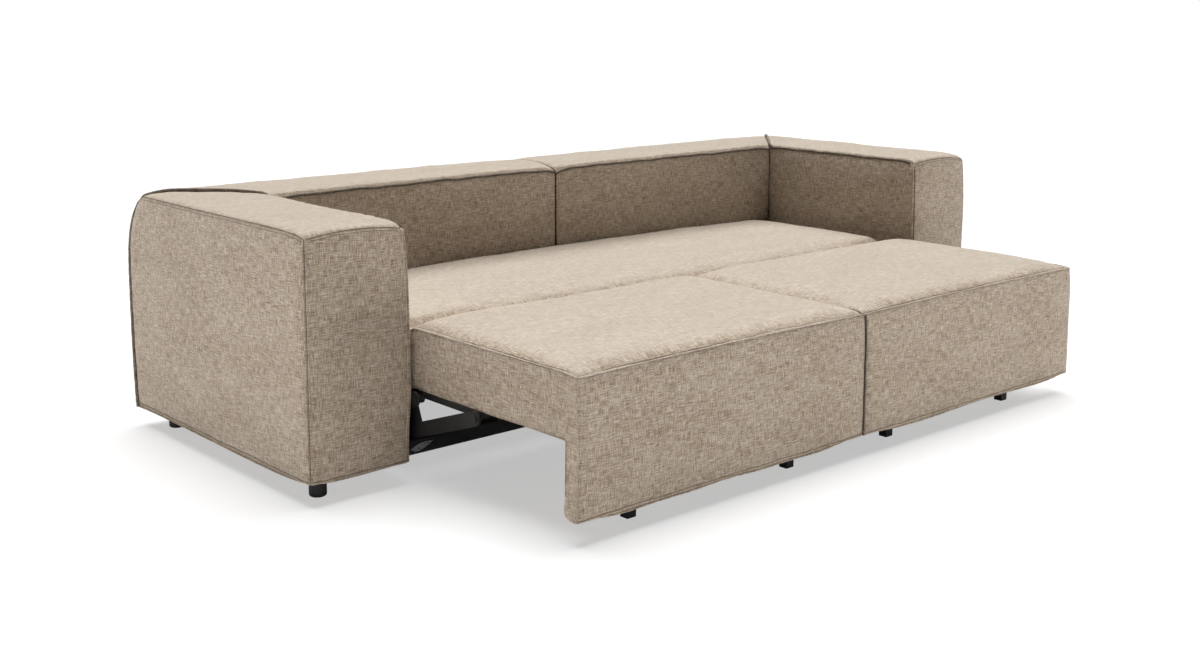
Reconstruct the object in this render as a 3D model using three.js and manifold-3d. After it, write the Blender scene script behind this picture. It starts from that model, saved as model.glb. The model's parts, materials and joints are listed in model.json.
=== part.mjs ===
// Sleeper sofa with a pull out bed, shown with the bed open.
// Millimetres, +Z up, +X to the viewer's right, -Y towards the viewer.
// Inside the assembly group y = 0 is the front plane of the armrests.
import * as THREE from 'three';
import { mergeVertices } from 'three/addons/utils/BufferGeometryUtils.js';
import Module from 'manifold-3d';

const wasm = await Module();
wasm.setup();

// Driving sizes of the whole sofa
const sofaWidth = 2890;
const sofaDepth = 1050;
const armTopHeight = 715;
const armCrown = 23;
const armWidth = 318;
const groundGap = 61;
const seatHeight = 430;
const seatCrown = 14;
const pullOut = 675;
const fit = 0.3;
const overrun = 5;
const pinSides = 16;
const footSides = 20;
const arcSteps = 5;
const footArcSteps = 2;

// Seat modules that pull out
const seatLength = 722;
const seatSideGap = 35;
const seatMiddleGap = 10;
const seatUnderside = 262;
const frontPanelThickness = 54;
const frontPanelRadius = 30;
const seatRearRadius = 30;

// Bench that fills the rear half of the bed
const benchCrown = 8;
const benchThickness = 90;
const benchSeatGap = 24;
const benchRearGap = 5;
const benchEdgeRadius = 58;
const benchSideGap = 47;

// Back
const backUndercut = 2;
const rearPanelThickness = 130;
const seamGap = 0.6;

// Padding and timber
const padding = 38;
const boardThickness = 18;
const largestCell = 240;
const seatFrameHeight = 62;
const benchFrameHeight = 40;
const baseBoardThickness = 12;
const dustCoverThickness = 2;

// Steel mechanism
const leverSlope = 19.04;
const leverThickness = 6;
const leverPlaneGap = 6;
const leverWidth = 42;
const shortArmWidth = 32;
const pivotDrop = 20;
const frontPivotFromRear = 310;
const pivotSpacing = 260;
const pinRadius = 8;
const pinHeadRadius = 12;
const pinHeadThickness = 3.4;
const pinPlay = 0.4;
const washerGap = 3;
const sidePlateThickness = 5;
const sidePlateMargin = 50;
const sidePlateBelow = 62;
const sidePlateAbove = 30;
const sideBarHeight = 20.5;
const sideBarWidth = 24;
const sideBarOverhang = 17;
const lugThickness = 6;
const lugRadius = 14;
const benchDropClearance = 2.5;
const bearerWidth = 30;
const bearerHeight = 22;
const bearerSetback = 26;
const hangerHalfWidth = 13;
const railHeight = 40;
const railDepth = 80;
const railWall = 4;
const railBottom = 38;
const railFootClearance = 10;
const railEndLength = 90;
const railEndWidth = 22;
const railHangerClearance = 8;
const rearRailInset = 52;
const catchPlateLength = 80;
const catchPlateHeight = 25;
const catchPlateThickness = 3;
const catchPlateInset = 21;
const catchHoleRadius = 3;
const catchOutlineShares = [[0, 0.9], [0.54, 0.06], [0.8, 0], [1, 0.38], [0.71, 0.8], [0.4, 1]];
const catchHoleShares = [[0.27, 0.72], [0.63, 0.3]];
const joiningPlateWidth = 120;
const joiningPlateInset = 90;
const joiningPlateThickness = 3;
const gussetShares = { foot: 0.29, top: 0.28, rise: 0.7 };

// Feet
const armFootRadius = 24.5;
const armFootRounding = 7;
const armFootSideInset = 82;
const armFootFrontInset = 95;
const armFootRearInset = 102;
const rearFootFromMiddle = 120;
const seatFootWidth = 30;
const seatFootDepth = 28;
const seatFootTaper = 6;
const seatFootSetback = 30;
const seatFootHeight = 66;
const seatFootPositions = [228, 842];
const footBracketThickness = 5;
const footBracketWidth = 46;
const footFlangeTop = 124;

// How a padded face falls away from its middle, and how sharply its corners draw in
const humpPower = 3;
const alongCornerPower = 14;
const acrossCornerPower = 2;
const heightCornerPower = 4;
const bottomSwellShare = 0.35;

// How far each padded face swells between its edges, and how far its corners draw in
const armTopSwell = 6;
const armSideSwell = 10;
const armCornerDraw = 15;
const armFrontSwell = 7;
const seatTopSwell = 9;
const seatSideSwell = 7;
const seatCornerDraw = 5;
const benchTopSwell = 8;
const benchCornerDraw = 5;

// Widths and heights that follow from the sizes above
const halfWidth = sofaWidth / 2;
const armInner = halfWidth - armWidth;
const backFront = sofaDepth - armWidth;
const armTop = armTopHeight + armCrown;
const seatOuter = armInner - seatSideGap;
const seatInner = seatMiddleGap / 2;
const seatFront = -pullOut;
const seatRear = seatFront + seatLength;
const seatTop = seatHeight + seatCrown;
const panelRear = seatFront + frontPanelThickness;
const benchTop = seatHeight + benchCrown;
const benchBottom = seatHeight - benchThickness;
const benchFront = seatRear + benchSeatGap;
const benchRear = backFront - benchRearGap;
const benchOuter = armInner - benchSideGap;
const backBottom = seatHeight + backUndercut;
const rearPanelFront = sofaDepth - rearPanelThickness;

// Pivot centres of the swing-over linkage, as [y, z], with the bed open
const slope = THREE.MathUtils.degToRad(leverSlope);
const leverReach = pullOut / 2 / Math.cos(slope);
const seatPivotZ = seatUnderside - pivotDrop;
const seatPivotsY = [seatRear - frontPivotFromRear, seatRear - frontPivotFromRear + pivotSpacing];
const basePivotZ = seatPivotZ - leverReach * Math.sin(slope);
const basePivotsY = seatPivotsY.map((y) => y + pullOut / 2);
const sideBarBottom = seatUnderside - sideBarHeight;
const benchDrop = benchTop - sideBarBottom + benchDropClearance;
const shortArmReach = benchDrop / 2 / Math.cos(slope);
const benchPivotZ = basePivotZ + benchDrop / 2;
const benchPivotsY = basePivotsY.map((y) => y + shortArmReach * Math.sin(slope));

// Planes of the mechanism, as distances from the middle of the sofa
const sidePlateOuter = armInner - fit;
const sidePlateInner = sidePlateOuter - sidePlateThickness;
const frontLeverInner = seatOuter + washerGap;
const rearLeverInner = frontLeverInner + leverThickness + leverPlaneGap;
const leverInners = [frontLeverInner, rearLeverInner];
const bearerOuter = benchOuter + washerGap + fit;
const hangerOuter = bearerOuter + lugThickness;

// Plain solids

function toSolid(geometry) {
  const bare = geometry.clone();
  bare.deleteAttribute('normal');
  bare.deleteAttribute('uv');
  const merged = mergeVertices(bare);
  return new wasm.Manifold(new wasm.Mesh({
    numProp: 3,
    vertProperties: merged.attributes.position.array,
    triVerts: new Uint32Array(merged.index.array),
  }));
}

function toGeometry(solid) {
  const cut = solid.getMesh();
  const geometry = new THREE.BufferGeometry();
  geometry.setAttribute('position', new THREE.BufferAttribute(cut.vertProperties, 3));
  geometry.setIndex(new THREE.BufferAttribute(cut.triVerts, 1));
  geometry.computeVertexNormals();
  return geometry;
}

function boxBetween([x0, x1], [y0, y1], [z0, z1]) {
  const box = new THREE.BoxGeometry(x1 - x0, y1 - y0, z1 - z0);
  return box.translate((x0 + x1) / 2, (y0 + y1) / 2, (z0 + z1) / 2);
}

function cut(geometry, ...tools) {
  return toGeometry(tools.reduce((solid, tool) => solid.subtract(toSolid(tool)), toSolid(geometry)));
}

function join(first, ...others) {
  return toGeometry(others.reduce((solid, other) => solid.add(toSolid(other)), toSolid(first)));
}

function keepInside(geometry, tool) {
  return toGeometry(toSolid(geometry).intersect(toSolid(tool)));
}

// Extrudes a side view, drawn as (y, z), between two distances along x.
function sideExtrusion(shape, x0, x1) {
  const options = { depth: x1 - x0, bevelEnabled: false, curveSegments: arcSteps };
  const body = new THREE.ExtrudeGeometry(shape, options);
  const axes = [new THREE.Vector3(0, 1, 0), new THREE.Vector3(0, 0, 1), new THREE.Vector3(1, 0, 0)];
  body.applyMatrix4(new THREE.Matrix4().makeBasis(...axes));
  return body.translate(x0, 0, 0);
}

// Extrudes a plan, drawn as (x, y), between two heights.
function planExtrusion(points, z0, z1) {
  const plan = new THREE.Shape(points.map(([x, y]) => new THREE.Vector2(x, y)));
  const body = new THREE.ExtrudeGeometry(plan, { depth: z1 - z0, bevelEnabled: false });
  return body.translate(0, 0, z0);
}

// A round rod along x, centred on (y, z).
function crossRod(x0, x1, [y, z], radius) {
  const rod = new THREE.CylinderGeometry(radius, radius, x1 - x0, pinSides);
  rod.rotateZ(Math.PI / 2);
  return rod.translate((x0 + x1) / 2, y, z);
}

// Turns a piece made for the right side into its left-hand twin.
function mirrored(geometry) {
  const twin = geometry.index ? geometry.clone() : mergeVertices(geometry);
  const corners = Array.from(twin.index.array);
  const flipped = corners.map((_, i) => corners[i - (i % 3) + (2 - (i % 3))]);
  twin.scale(-1, 1, 1);
  twin.setIndex(flipped);
  twin.computeVertexNormals();
  return twin;
}

// A padded block. Each face swells between its edges, and its upper corners draw in. A joined end
// keeps its crown up to the seam. `along` gives the two ends of the block for each place across it.
function paddedBlock({ across, along, height, faces, joined = [false, false], steps }) {
  const block = new THREE.BoxGeometry(1, 1, 1, ...steps);
  const position = block.attributes.position;
  const hump = (t) => 1 - Math.abs(t) ** humpPower;
  const endHump = (v) => (joined[v < 0 ? 0 : 1] ? 1 : hump(v));
  const levelHump = (w) => 1 - (1 - hump(w)) * (w < 0 ? bottomSwellShare : 1);
  const inset = ([swell, draw], rise, corner) => swell * (1 - rise) + draw * corner;
  const mix = (low, high, t) => low + (high - low) * (t + 1) / 2;
  for (let i = 0; i < position.count; i += 1) {
    const [u, v, w] = [position.getX(i) * 2, position.getY(i) * 2, position.getZ(i) * 2];
    const [nearSide, nearEnd] = [u ** acrossCornerPower, v ** alongCornerPower];
    const nearTop = Math.max(0, w) ** heightCornerPower;
    const insetAcross = inset(faces.across[u < 0 ? 0 : 1], endHump(v) * levelHump(w), nearEnd * nearTop);
    const insetAlong = inset(faces.along[v < 0 ? 0 : 1], hump(u) * levelHump(w), nearSide * nearTop);
    const insetHeight = inset(faces.height[w < 0 ? 0 : 1], hump(u) * endHump(v), nearSide * nearEnd);
    const a = mix(...across, u) - u * insetAcross;
    const b = mix(...along(a), v) - v * insetAlong;
    position.setXYZ(i, a, b, mix(...height, w) - w * insetHeight);
  }
  return block;
}

// Rows of ribs between two ends, no cell wider than the largest cell.
function ribPlaces(start, end) {
  const bays = Math.max(1, Math.ceil((end - start - boardThickness) / largestCell));
  const pitch = (end - start - boardThickness) / bays;
  return Array.from({ length: bays + 1 }, (_, i) => start + i * pitch);
}

// Armrests and back, which meet on a mitre

const flat = [0, 0];
const mitreRear = (x) => backFront + (x - armInner) - seamGap / 2;
const mitreSide = (y) => armInner + (y - backFront) - seamGap / 2;
const mitreShare = Math.SQRT2;

function armBlock() {
  return paddedBlock({
    across: [armInner, halfWidth],
    along: (x) => [0, mitreRear(x)],
    height: [groundGap, armTop],
    faces: {
      across: [flat, [armSideSwell, armCornerDraw]],
      along: [[armFrontSwell, armCornerDraw / 2], flat],
      height: [flat, [armTopSwell, armCrown - armTopSwell]],
    },
    joined: [false, true],
    steps: [5, 12, 7],
  });
}

function armPlan(margin) {
  const [inner, outer] = [armInner + margin, halfWidth - margin];
  const rear = (x) => mitreRear(x) - margin * mitreShare;
  return [[inner, margin], [outer, margin], [outer, rear(outer)], [inner, rear(inner)]];
}

function armCover() {
  return cut(armBlock(), planExtrusion(armPlan(padding), groundGap - overrun, armTopHeight - padding));
}

function armBaseBoard() {
  return planExtrusion(armPlan(padding + fit), groundGap, groundGap + baseBoardThickness);
}

// Shelves cut to the plan, ribs across the armrest and a board along the mitre.
function armFrame() {
  const margin = padding + fit;
  const plan = armPlan(margin);
  const [bottom, top] = [groundGap + baseBoardThickness + fit, armTopHeight - padding - fit];
  const [inner, outer] = [plan[0][0], plan[1][0]];
  const shelves = ribPlaces(bottom, top).map((z) => planExtrusion(plan, z, z + boardThickness));
  const ribs = ribPlaces(margin, plan[3][1]).map((y) => (
    boxBetween([inner, outer], [y, y + boardThickness], [bottom, top])));
  const mitreBoard = planExtrusion([
    plan[3],
    [plan[3][0], plan[3][1] - boardThickness * mitreShare],
    [plan[2][0], plan[2][1] - boardThickness * mitreShare],
    plan[2],
  ].reverse(), bottom, top);
  return join(...shelves, ...ribs, mitreBoard);
}

function backBlock() {
  const block = paddedBlock({
    across: [backFront, sofaDepth],
    along: (y) => [-mitreSide(y), -seamGap / 2],
    height: [groundGap, armTop],
    faces: {
      across: [flat, [armSideSwell, armCornerDraw]],
      along: [flat, flat],
      height: [flat, [armTopSwell, armCrown - armTopSwell]],
    },
    joined: [true, true],
    steps: [5, 12, 7],
  });
  return block.rotateZ(Math.PI / 2);
}

function backPlan(front, rear, margin) {
  const side = (y) => mitreSide(y) - margin * mitreShare;
  const middle = seamGap / 2 + margin;
  return [[middle, front], [side(front), front], [side(rear), rear], [middle, rear]];
}

const backCavityFloor = backBottom - overrun;
const backPlanDepth = [backFront + padding, sofaDepth - padding];
const rearCavityDepth = [rearPanelFront + padding, sofaDepth - padding];
const rearCavityFloor = groundGap + baseBoardThickness;

function backCover() {
  const upper = boxBetween([0, halfWidth], [backFront, sofaDepth], [backBottom, armTop]);
  const plan = backPlan(...backPlanDepth, padding);
  const cavity = planExtrusion(plan, backCavityFloor, armTopHeight - padding);
  return cut(keepInside(backBlock(), upper), cavity);
}

function rearPanel() {
  const lower = boxBetween([0, halfWidth], [rearPanelFront, sofaDepth], [groundGap, backBottom - fit]);
  const cavity = planExtrusion(backPlan(...rearCavityDepth, padding), rearCavityFloor, backBottom);
  return cut(keepInside(backBlock(), lower), cavity);
}

// The upper crate and the lower ladder of the back are one frame.
function backFrame() {
  const margin = padding + fit;
  const [front, rear] = [backFront + margin, sofaDepth - margin];
  const ladderFront = rearPanelFront + margin;
  const [bottom, top] = [rearCavityFloor + fit, armTopHeight - margin];
  const crateBottom = backBottom + fit;
  const wide = backPlan(front, rear, margin);
  const narrow = backPlan(ladderFront, rear, margin);
  const shelves = ribPlaces(crateBottom, top).map((z) => planExtrusion(wide, z, z + boardThickness));
  const rails = ribPlaces(bottom, crateBottom).map((z) => planExtrusion(narrow, z, z + boardThickness));
  const places = ribPlaces(wide[0][0], wide[1][0]);
  const crateRibs = places.map((x) => (
    boxBetween([x, x + boardThickness], [front, rear], [crateBottom, top])));
  const posts = places.map((x) => (
    boxBetween([x, x + boardThickness], [ladderFront, rear], [bottom, top])));
  return join(...shelves, ...rails, ...crateRibs, ...posts);
}

// Seat modules

// Side view of a module: a deep seat block with the thin front panel hanging from it.
function seatProfile() {
  const shape = new THREE.Shape();
  const panelTurn = frontPanelRadius;
  shape.moveTo(seatFront - overrun, groundGap);
  shape.lineTo(panelRear - panelTurn, groundGap);
  shape.absarc(panelRear - panelTurn, groundGap + panelTurn, panelTurn, -Math.PI / 2, 0, false);
  shape.lineTo(panelRear, seatUnderside);
  shape.lineTo(seatRear - seatRearRadius, seatUnderside);
  const rearTurn = seatRearRadius;
  shape.absarc(seatRear - rearTurn, seatUnderside + rearTurn, rearTurn, -Math.PI / 2, 0, false);
  shape.lineTo(seatRear, seatTop + overrun);
  shape.lineTo(seatFront - overrun, seatTop + overrun);
  return shape;
}

function seatBlock() {
  const block = paddedBlock({
    across: [seatInner, seatOuter],
    along: () => [seatFront, seatRear],
    height: [groundGap, seatTop],
    faces: {
      across: [[seatSideSwell / 2, seatCornerDraw / 2], [seatSideSwell, seatCornerDraw]],
      along: [[seatSideSwell, seatCornerDraw], [seatSideSwell / 2, seatCornerDraw]],
      height: [flat, [seatTopSwell, seatCrown - seatTopSwell]],
    },
    steps: [10, 8, 6],
  });
  return keepInside(block, sideExtrusion(seatProfile(), 0, halfWidth));
}

const seatCavityTop = seatUnderside + seatFrameHeight;
const seatFrameSpan = [seatInner + padding + fit, seatOuter - padding - fit];
const seatFrameReach = [seatFront + padding + fit, seatRear - seatRearRadius - fit];
const seatFrameBottom = seatUnderside + dustCoverThickness + fit;

function seatCover() {
  const reach = [seatFront - overrun, seatRear];
  const upper = boxBetween([0, halfWidth], reach, [seatUnderside, seatTop + overrun]);
  const cavity = boxBetween(
    [seatFrameSpan[0] - fit, seatFrameSpan[1] + fit],
    [seatFrameReach[0] - fit, seatFrameReach[1] + fit],
    [seatUnderside - overrun, seatCavityTop],
  );
  return cut(keepInside(seatBlock(), upper), cavity);
}

function frontPanel() {
  const reach = [seatFront - overrun, panelRear];
  const lower = boxBetween([0, halfWidth], reach, [groundGap, seatUnderside - fit]);
  return keepInside(seatBlock(), lower);
}

// The clear stretches between neighbouring ribs.
function ribBays(start, end) {
  const places = ribPlaces(start, end);
  return places.slice(1).map((place, i) => [places[i] + boardThickness, place]);
}

// A deck board on a grid of ribs that open downwards.
function deckFrame([x0, x1], [y0, y1], [z0, z1]) {
  const block = boxBetween([x0, x1], [y0, y1], [z0, z1]);
  const cells = ribBays(x0, x1).flatMap((bayX) => (
    ribBays(y0, y1).map((bayY) => boxBetween(bayX, bayY, [z0 - overrun, z1 - boardThickness]))));
  return cut(block, ...cells);
}

function seatFrame() {
  return deckFrame(seatFrameSpan, seatFrameReach, [seatFrameBottom, seatCavityTop - fit]);
}

function seatDustCover() {
  const thick = [seatUnderside, seatUnderside + dustCoverThickness];
  return boxBetween(seatFrameSpan, seatFrameReach, thick);
}

// Square steel bar under the side of a module, with a lug for each lever.
function sideBar() {
  const [lugInner, lugOuter] = [seatOuter - lugThickness, seatOuter];
  const barTop = seatUnderside - fit;
  const bar = boxBetween(
    [lugInner - sideBarWidth, lugInner],
    [seatPivotsY[0] - sideBarOverhang, seatPivotsY[1] + sideBarOverhang],
    [sideBarBottom, barTop],
  );
  const lugs = seatPivotsY.map((y) => join(
    boxBetween([lugInner - fit, lugOuter], [y - lugRadius, y + lugRadius], [seatPivotZ, barTop]),
    crossRod(lugInner - fit, lugOuter, [y, seatPivotZ], lugRadius),
  ));
  const holes = seatPivotsY.map((y) => (
    crossRod(lugInner, lugOuter + overrun, [y, seatPivotZ], pinRadius + pinPlay)));
  return cut(join(bar, ...lugs), ...holes);
}

// Steel plate that joins the two modules from below.
function joiningPlate() {
  const top = seatUnderside - fit;
  return boxBetween(
    [-joiningPlateWidth / 2, joiningPlateWidth / 2],
    [panelRear + joiningPlateInset, seatRear - seatRearRadius - joiningPlateInset],
    [top - joiningPlateThickness, top],
  );
}

// Tapered foot on a bracket that is screwed to the back of the front panel.
function seatFoot(x) {
  const foot = boxBetween([-seatFootWidth / 2, seatFootWidth / 2], [0, seatFootDepth], [0, seatFootHeight]);
  const position = foot.attributes.position;
  for (let i = 0; i < position.count; i += 1) {
    const lean = position.getZ(i) > 0 ? seatFootTaper : 0;
    position.setX(i, position.getX(i) + Math.sign(position.getX(i)) * lean / 2);
  }
  foot.translate(0, panelRear + seatFootSetback, 0);
  const across = [-footBracketWidth / 2, footBracketWidth / 2];
  const flange = [panelRear + fit, panelRear + fit + footBracketThickness];
  const plateTop = seatFootHeight + footBracketThickness;
  const footRear = panelRear + seatFootSetback + seatFootDepth;
  const plateFloor = seatFootHeight - fit;
  const plate = boxBetween(across, [flange[0], footRear], [plateFloor, plateTop]);
  const upright = boxBetween(across, flange, [plateFloor, footFlangeTop]);
  return join(foot, plate, upright).translate(x, 0, 0);
}

// Bench

function benchProfile() {
  const shape = new THREE.Shape();
  const turn = benchEdgeRadius;
  shape.moveTo(benchFront, benchBottom);
  shape.lineTo(benchRear, benchBottom);
  shape.lineTo(benchRear, benchTop + overrun);
  shape.lineTo(benchFront + turn, benchTop);
  shape.absarc(benchFront + turn, benchTop - turn, turn, Math.PI / 2, Math.PI, false);
  return shape;
}

const benchFrameSpan = [-benchOuter + padding + fit, benchOuter - padding - fit];
const benchFrameReach = [benchFront + padding + fit, benchRear - padding - fit];
const benchFrameTop = benchBottom + benchFrameHeight;
const benchFrameBottom = benchBottom + dustCoverThickness + fit;

function benchCover() {
  const block = paddedBlock({
    across: [-benchOuter, benchOuter],
    along: () => [benchFront, benchRear],
    height: [benchBottom, benchTop],
    faces: {
      across: [[benchTopSwell, benchCornerDraw], [benchTopSwell, benchCornerDraw]],
      along: [flat, flat],
      height: [flat, [benchTopSwell, benchCornerDraw]],
    },
    steps: [20, 8, 3],
  });
  const cavity = boxBetween(
    [benchFrameSpan[0] - fit, benchFrameSpan[1] + fit],
    [benchFrameReach[0] - fit, benchFrameReach[1] + fit],
    [benchBottom - overrun, benchFrameTop],
  );
  return cut(keepInside(block, sideExtrusion(benchProfile(), -halfWidth, halfWidth)), cavity);
}

function benchFrame() {
  return deckFrame(benchFrameSpan, benchFrameReach, [benchFrameBottom, benchFrameTop - fit]);
}

function benchDustCover() {
  return boxBetween(benchFrameSpan, benchFrameReach, [benchBottom, benchBottom + dustCoverThickness]);
}

// Steel bearer under the end of the bench, with a hanger down to each lever.
function benchBearer() {
  const top = benchBottom - fit;
  const bar = boxBetween(
    [bearerOuter - bearerWidth, bearerOuter],
    [benchFront + bearerSetback, benchRear - bearerSetback],
    [top - bearerHeight, top],
  );
  const [inner, outer, half] = [bearerOuter - fit, hangerOuter, hangerHalfWidth];
  const hangers = benchPivotsY.map((y) => join(
    boxBetween([inner, outer], [y - half, y + half], [benchPivotZ, top]),
    crossRod(inner, outer, [y, benchPivotZ], half),
  ));
  const holes = benchPivotsY.map((y) => (
    crossRod(bearerOuter - overrun, hangerOuter + overrun, [y, benchPivotZ], pinRadius + pinPlay)));
  return cut(join(bar, ...hangers), ...holes);
}

// Levers, pins and the fixed base

// A bell crank: the long arm swings a seat module over, and the short arm lowers the bench.
function lever(which) {
  const [inner, outer] = [leverInners[which], leverInners[which] + leverThickness];
  const base = new THREE.Vector2(basePivotsY[which], basePivotZ);
  const seatEnd = new THREE.Vector2(seatPivotsY[which], seatPivotZ);
  const benchEnd = new THREE.Vector2(benchPivotsY[which], benchPivotZ);
  const arm = (end, width) => {
    const angle = Math.atan2(end.y - base.y, end.x - base.x);
    const side = new THREE.Shape();
    side.absarc(base.x, base.y, width / 2, angle + Math.PI / 2, angle + Math.PI * 3 / 2, false);
    side.absarc(end.x, end.y, width / 2, angle - Math.PI / 2, angle + Math.PI / 2, false);
    return sideExtrusion(side, inner, outer);
  };
  const rise = benchEnd.clone().sub(base).multiplyScalar(gussetShares.rise);
  const gusset = sideExtrusion(new THREE.Shape([
    base,
    benchEnd,
    base.clone().lerp(seatEnd, gussetShares.top).add(rise),
    base.clone().lerp(seatEnd, gussetShares.foot),
  ]), inner, outer);
  const plate = join(arm(seatEnd, leverWidth), arm(benchEnd, shortArmWidth), gusset);
  const holes = [base, seatEnd, benchEnd].map((centre) => (
    crossRod(inner - overrun, outer + overrun, [centre.x, centre.y], pinRadius + pinPlay)));
  return cut(plate, ...holes);
}

// A stepped pin along x, turned to a list of steps, each [start, end, radius].
function steppedPin([y, z], steps) {
  const [first, last] = [steps[0][0], steps[steps.length - 1][1]];
  const turned = steps.flatMap(([start, end, radius]) => [[radius, start], [radius, end]]);
  const points = [[0, first], ...turned, [0, last]].map(([r, along]) => new THREE.Vector2(r, along));
  return new THREE.LatheGeometry(points, pinSides).rotateZ(-Math.PI / 2).translate(0, y, z);
}

function basePin(which) {
  const [inner, outer] = [leverInners[which] - fit, leverInners[which] + leverThickness + fit];
  return steppedPin([basePivotsY[which], basePivotZ], [
    [inner - pinHeadThickness, inner, pinHeadRadius],
    [inner, outer, pinRadius],
    [outer, sidePlateInner - fit, pinHeadRadius],
  ]);
}

// Pin of a lever's moving end: it reaches through the plate that it carries.
function endPin(which, centre, plateOuter) {
  const [inner, outer] = [leverInners[which] - fit, leverInners[which] + leverThickness + fit];
  return steppedPin(centre, [
    [plateOuter - lugThickness + fit, plateOuter + fit, pinRadius],
    [plateOuter + fit, inner, pinHeadRadius],
    [inner, outer, pinRadius],
    [outer, outer + pinHeadThickness, pinHeadRadius],
  ]);
}

function sidePlate() {
  return boxBetween(
    [sidePlateInner, sidePlateOuter],
    [basePivotsY[0] - sidePlateMargin, basePivotsY[1] + sidePlateMargin],
    [basePivotZ - sidePlateBelow, basePivotZ + sidePlateAbove],
  );
}

const footRearClosed = frontPanelThickness + seatFootSetback + seatFootDepth;
const railFront = footRearClosed + railFootClearance;
const railHalfLength = bearerOuter - bearerWidth - railHangerClearance + railEndWidth;
const railEndInner = railHalfLength - railEndWidth;
const railTop = railBottom + railHeight;

function channel(halfLength, front) {
  const body = boxBetween([-halfLength, halfLength], [front, front + railDepth], [railBottom, railTop]);
  const trough = boxBetween(
    [-halfLength - overrun, halfLength + overrun],
    [front + railWall, front + railDepth - railWall],
    [railBottom - overrun, railTop - railWall],
  );
  return cut(body, trough);
}

// The front rail stops inside the levers, and its end blocks step back to reach the side plates.
function frontRail() {
  const blockFront = railFront + railDepth - railWall;
  const blocks = [1, -1].map((side) => {
    const ends = [side * railEndInner, side * (sidePlateInner - fit)].sort((a, b) => a - b);
    return boxBetween(ends, [blockFront, blockFront + railEndLength], [railBottom, railTop]);
  });
  return join(channel(railEndInner + railEndWidth, railFront), ...blocks);
}

function rearRail() {
  return channel(armInner - fit, backFront - rearRailInset - railDepth);
}

// Zinc plated catch plate on the front of the rail, with a slanted end and two holes.
function catchPlate() {
  const outer = railHalfLength - catchPlateInset;
  const inner = outer - catchPlateLength;
  const back = railFront - fit;
  const bottom = railBottom + (railHeight - catchPlateHeight) / 2;
  const place = ([alongShare, upShare]) => (
    new THREE.Vector2(inner + alongShare * catchPlateLength, bottom + upShare * catchPlateHeight));
  const outline = new THREE.Shape(catchOutlineShares.map(place));
  const plate = new THREE.ExtrudeGeometry(outline, { depth: catchPlateThickness, bevelEnabled: false });
  plate.rotateX(Math.PI / 2).translate(0, back, 0);
  const holes = catchHoleShares.map(place).map((centre) => {
    const depth = catchPlateThickness + overrun * 2;
    const hole = new THREE.CylinderGeometry(catchHoleRadius, catchHoleRadius, depth, pinSides);
    return hole.translate(centre.x, back - catchPlateThickness / 2, centre.y);
  });
  return cut(plate, ...holes);
}

function roundFoot(x, y) {
  const profile = new THREE.Path();
  profile.moveTo(0, 0);
  profile.lineTo(armFootRadius - armFootRounding, 0);
  profile.absarc(armFootRadius - armFootRounding, armFootRounding, armFootRounding, -Math.PI / 2, 0, false);
  profile.lineTo(armFootRadius, groundGap - fit);
  profile.lineTo(0, groundGap - fit);
  const foot = new THREE.LatheGeometry(profile.getPoints(footArcSteps), footSides);
  return foot.rotateX(Math.PI / 2).translate(x, y, 0);
}

// Finishes

const finishes = {
  fabric: { color: 0xb5a999, roughness: 0.95, metalness: 0 },
  timber: { color: 0xc9a878, roughness: 0.8, metalness: 0 },
  blackSteel: { color: 0x17181a, roughness: 0.5, metalness: 0.6 },
  zinc: { color: 0x9a9c9e, roughness: 0.4, metalness: 0.9 },
  blackPlastic: { color: 0x141415, roughness: 0.6, metalness: 0 },
  dustCloth: { color: 0x1d1d1f, roughness: 0.95, metalness: 0 },
};

const assembly = new THREE.Group();
assembly.position.y = (pullOut - sofaDepth) / 2;

function add(name, geometry, finish) {
  const part = new THREE.Mesh(geometry, new THREE.MeshStandardMaterial(finishes[finish]));
  part.name = name;
  assembly.add(part);
}

function addPair(name, geometry, finish) {
  add(`${name}_right`, geometry, finish);
  add(`${name}_left`, mirrored(geometry), finish);
}

addPair('arm_cover', armCover(), 'fabric');
addPair('arm_frame', armFrame(), 'timber');
addPair('arm_base_board', armBaseBoard(), 'timber');
addPair('back_cover', backCover(), 'fabric');
addPair('rear_panel', rearPanel(), 'fabric');
addPair('back_frame', backFrame(), 'timber');
addPair('seat_cover', seatCover(), 'fabric');
addPair('front_panel', frontPanel(), 'fabric');
addPair('seat_frame', seatFrame(), 'timber');
addPair('seat_dust_cover', seatDustCover(), 'dustCloth');
addPair('seat_side_bar', sideBar(), 'blackSteel');
add('bench_cover', benchCover(), 'fabric');
add('bench_frame', benchFrame(), 'timber');
add('bench_dust_cover', benchDustCover(), 'dustCloth');
addPair('bench_bearer', benchBearer(), 'blackSteel');
addPair('side_plate', sidePlate(), 'blackSteel');
add('front_rail', frontRail(), 'blackSteel');
add('rear_rail', rearRail(), 'blackSteel');
addPair('catch_plate', catchPlate(), 'zinc');

['front', 'rear'].forEach((end, which) => {
  addPair(`lever_${end}`, lever(which), 'blackSteel');
  addPair(`base_pin_${end}`, basePin(which), 'blackSteel');
  addPair(`seat_pin_${end}`, endPin(which, [seatPivotsY[which], seatPivotZ], seatOuter), 'blackSteel');
  addPair(`bench_pin_${end}`, endPin(which, [benchPivotsY[which], benchPivotZ], hangerOuter), 'blackSteel');
});

add('joining_plate', joiningPlate(), 'blackSteel');

seatFootPositions.forEach((x, i) => addPair(`seat_foot_${i + 1}`, seatFoot(x), 'blackPlastic'));

const armFootX = halfWidth - armFootSideInset;
addPair('arm_foot_front', roundFoot(armFootX, armFootFrontInset), 'blackPlastic');
addPair('arm_foot_rear', roundFoot(armFootX, sofaDepth - armFootRearInset), 'blackPlastic');
addPair('rear_foot', roundFoot(rearFootFromMiddle, sofaDepth - rearPanelThickness / 2), 'blackPlastic');

export default assembly;
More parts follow.
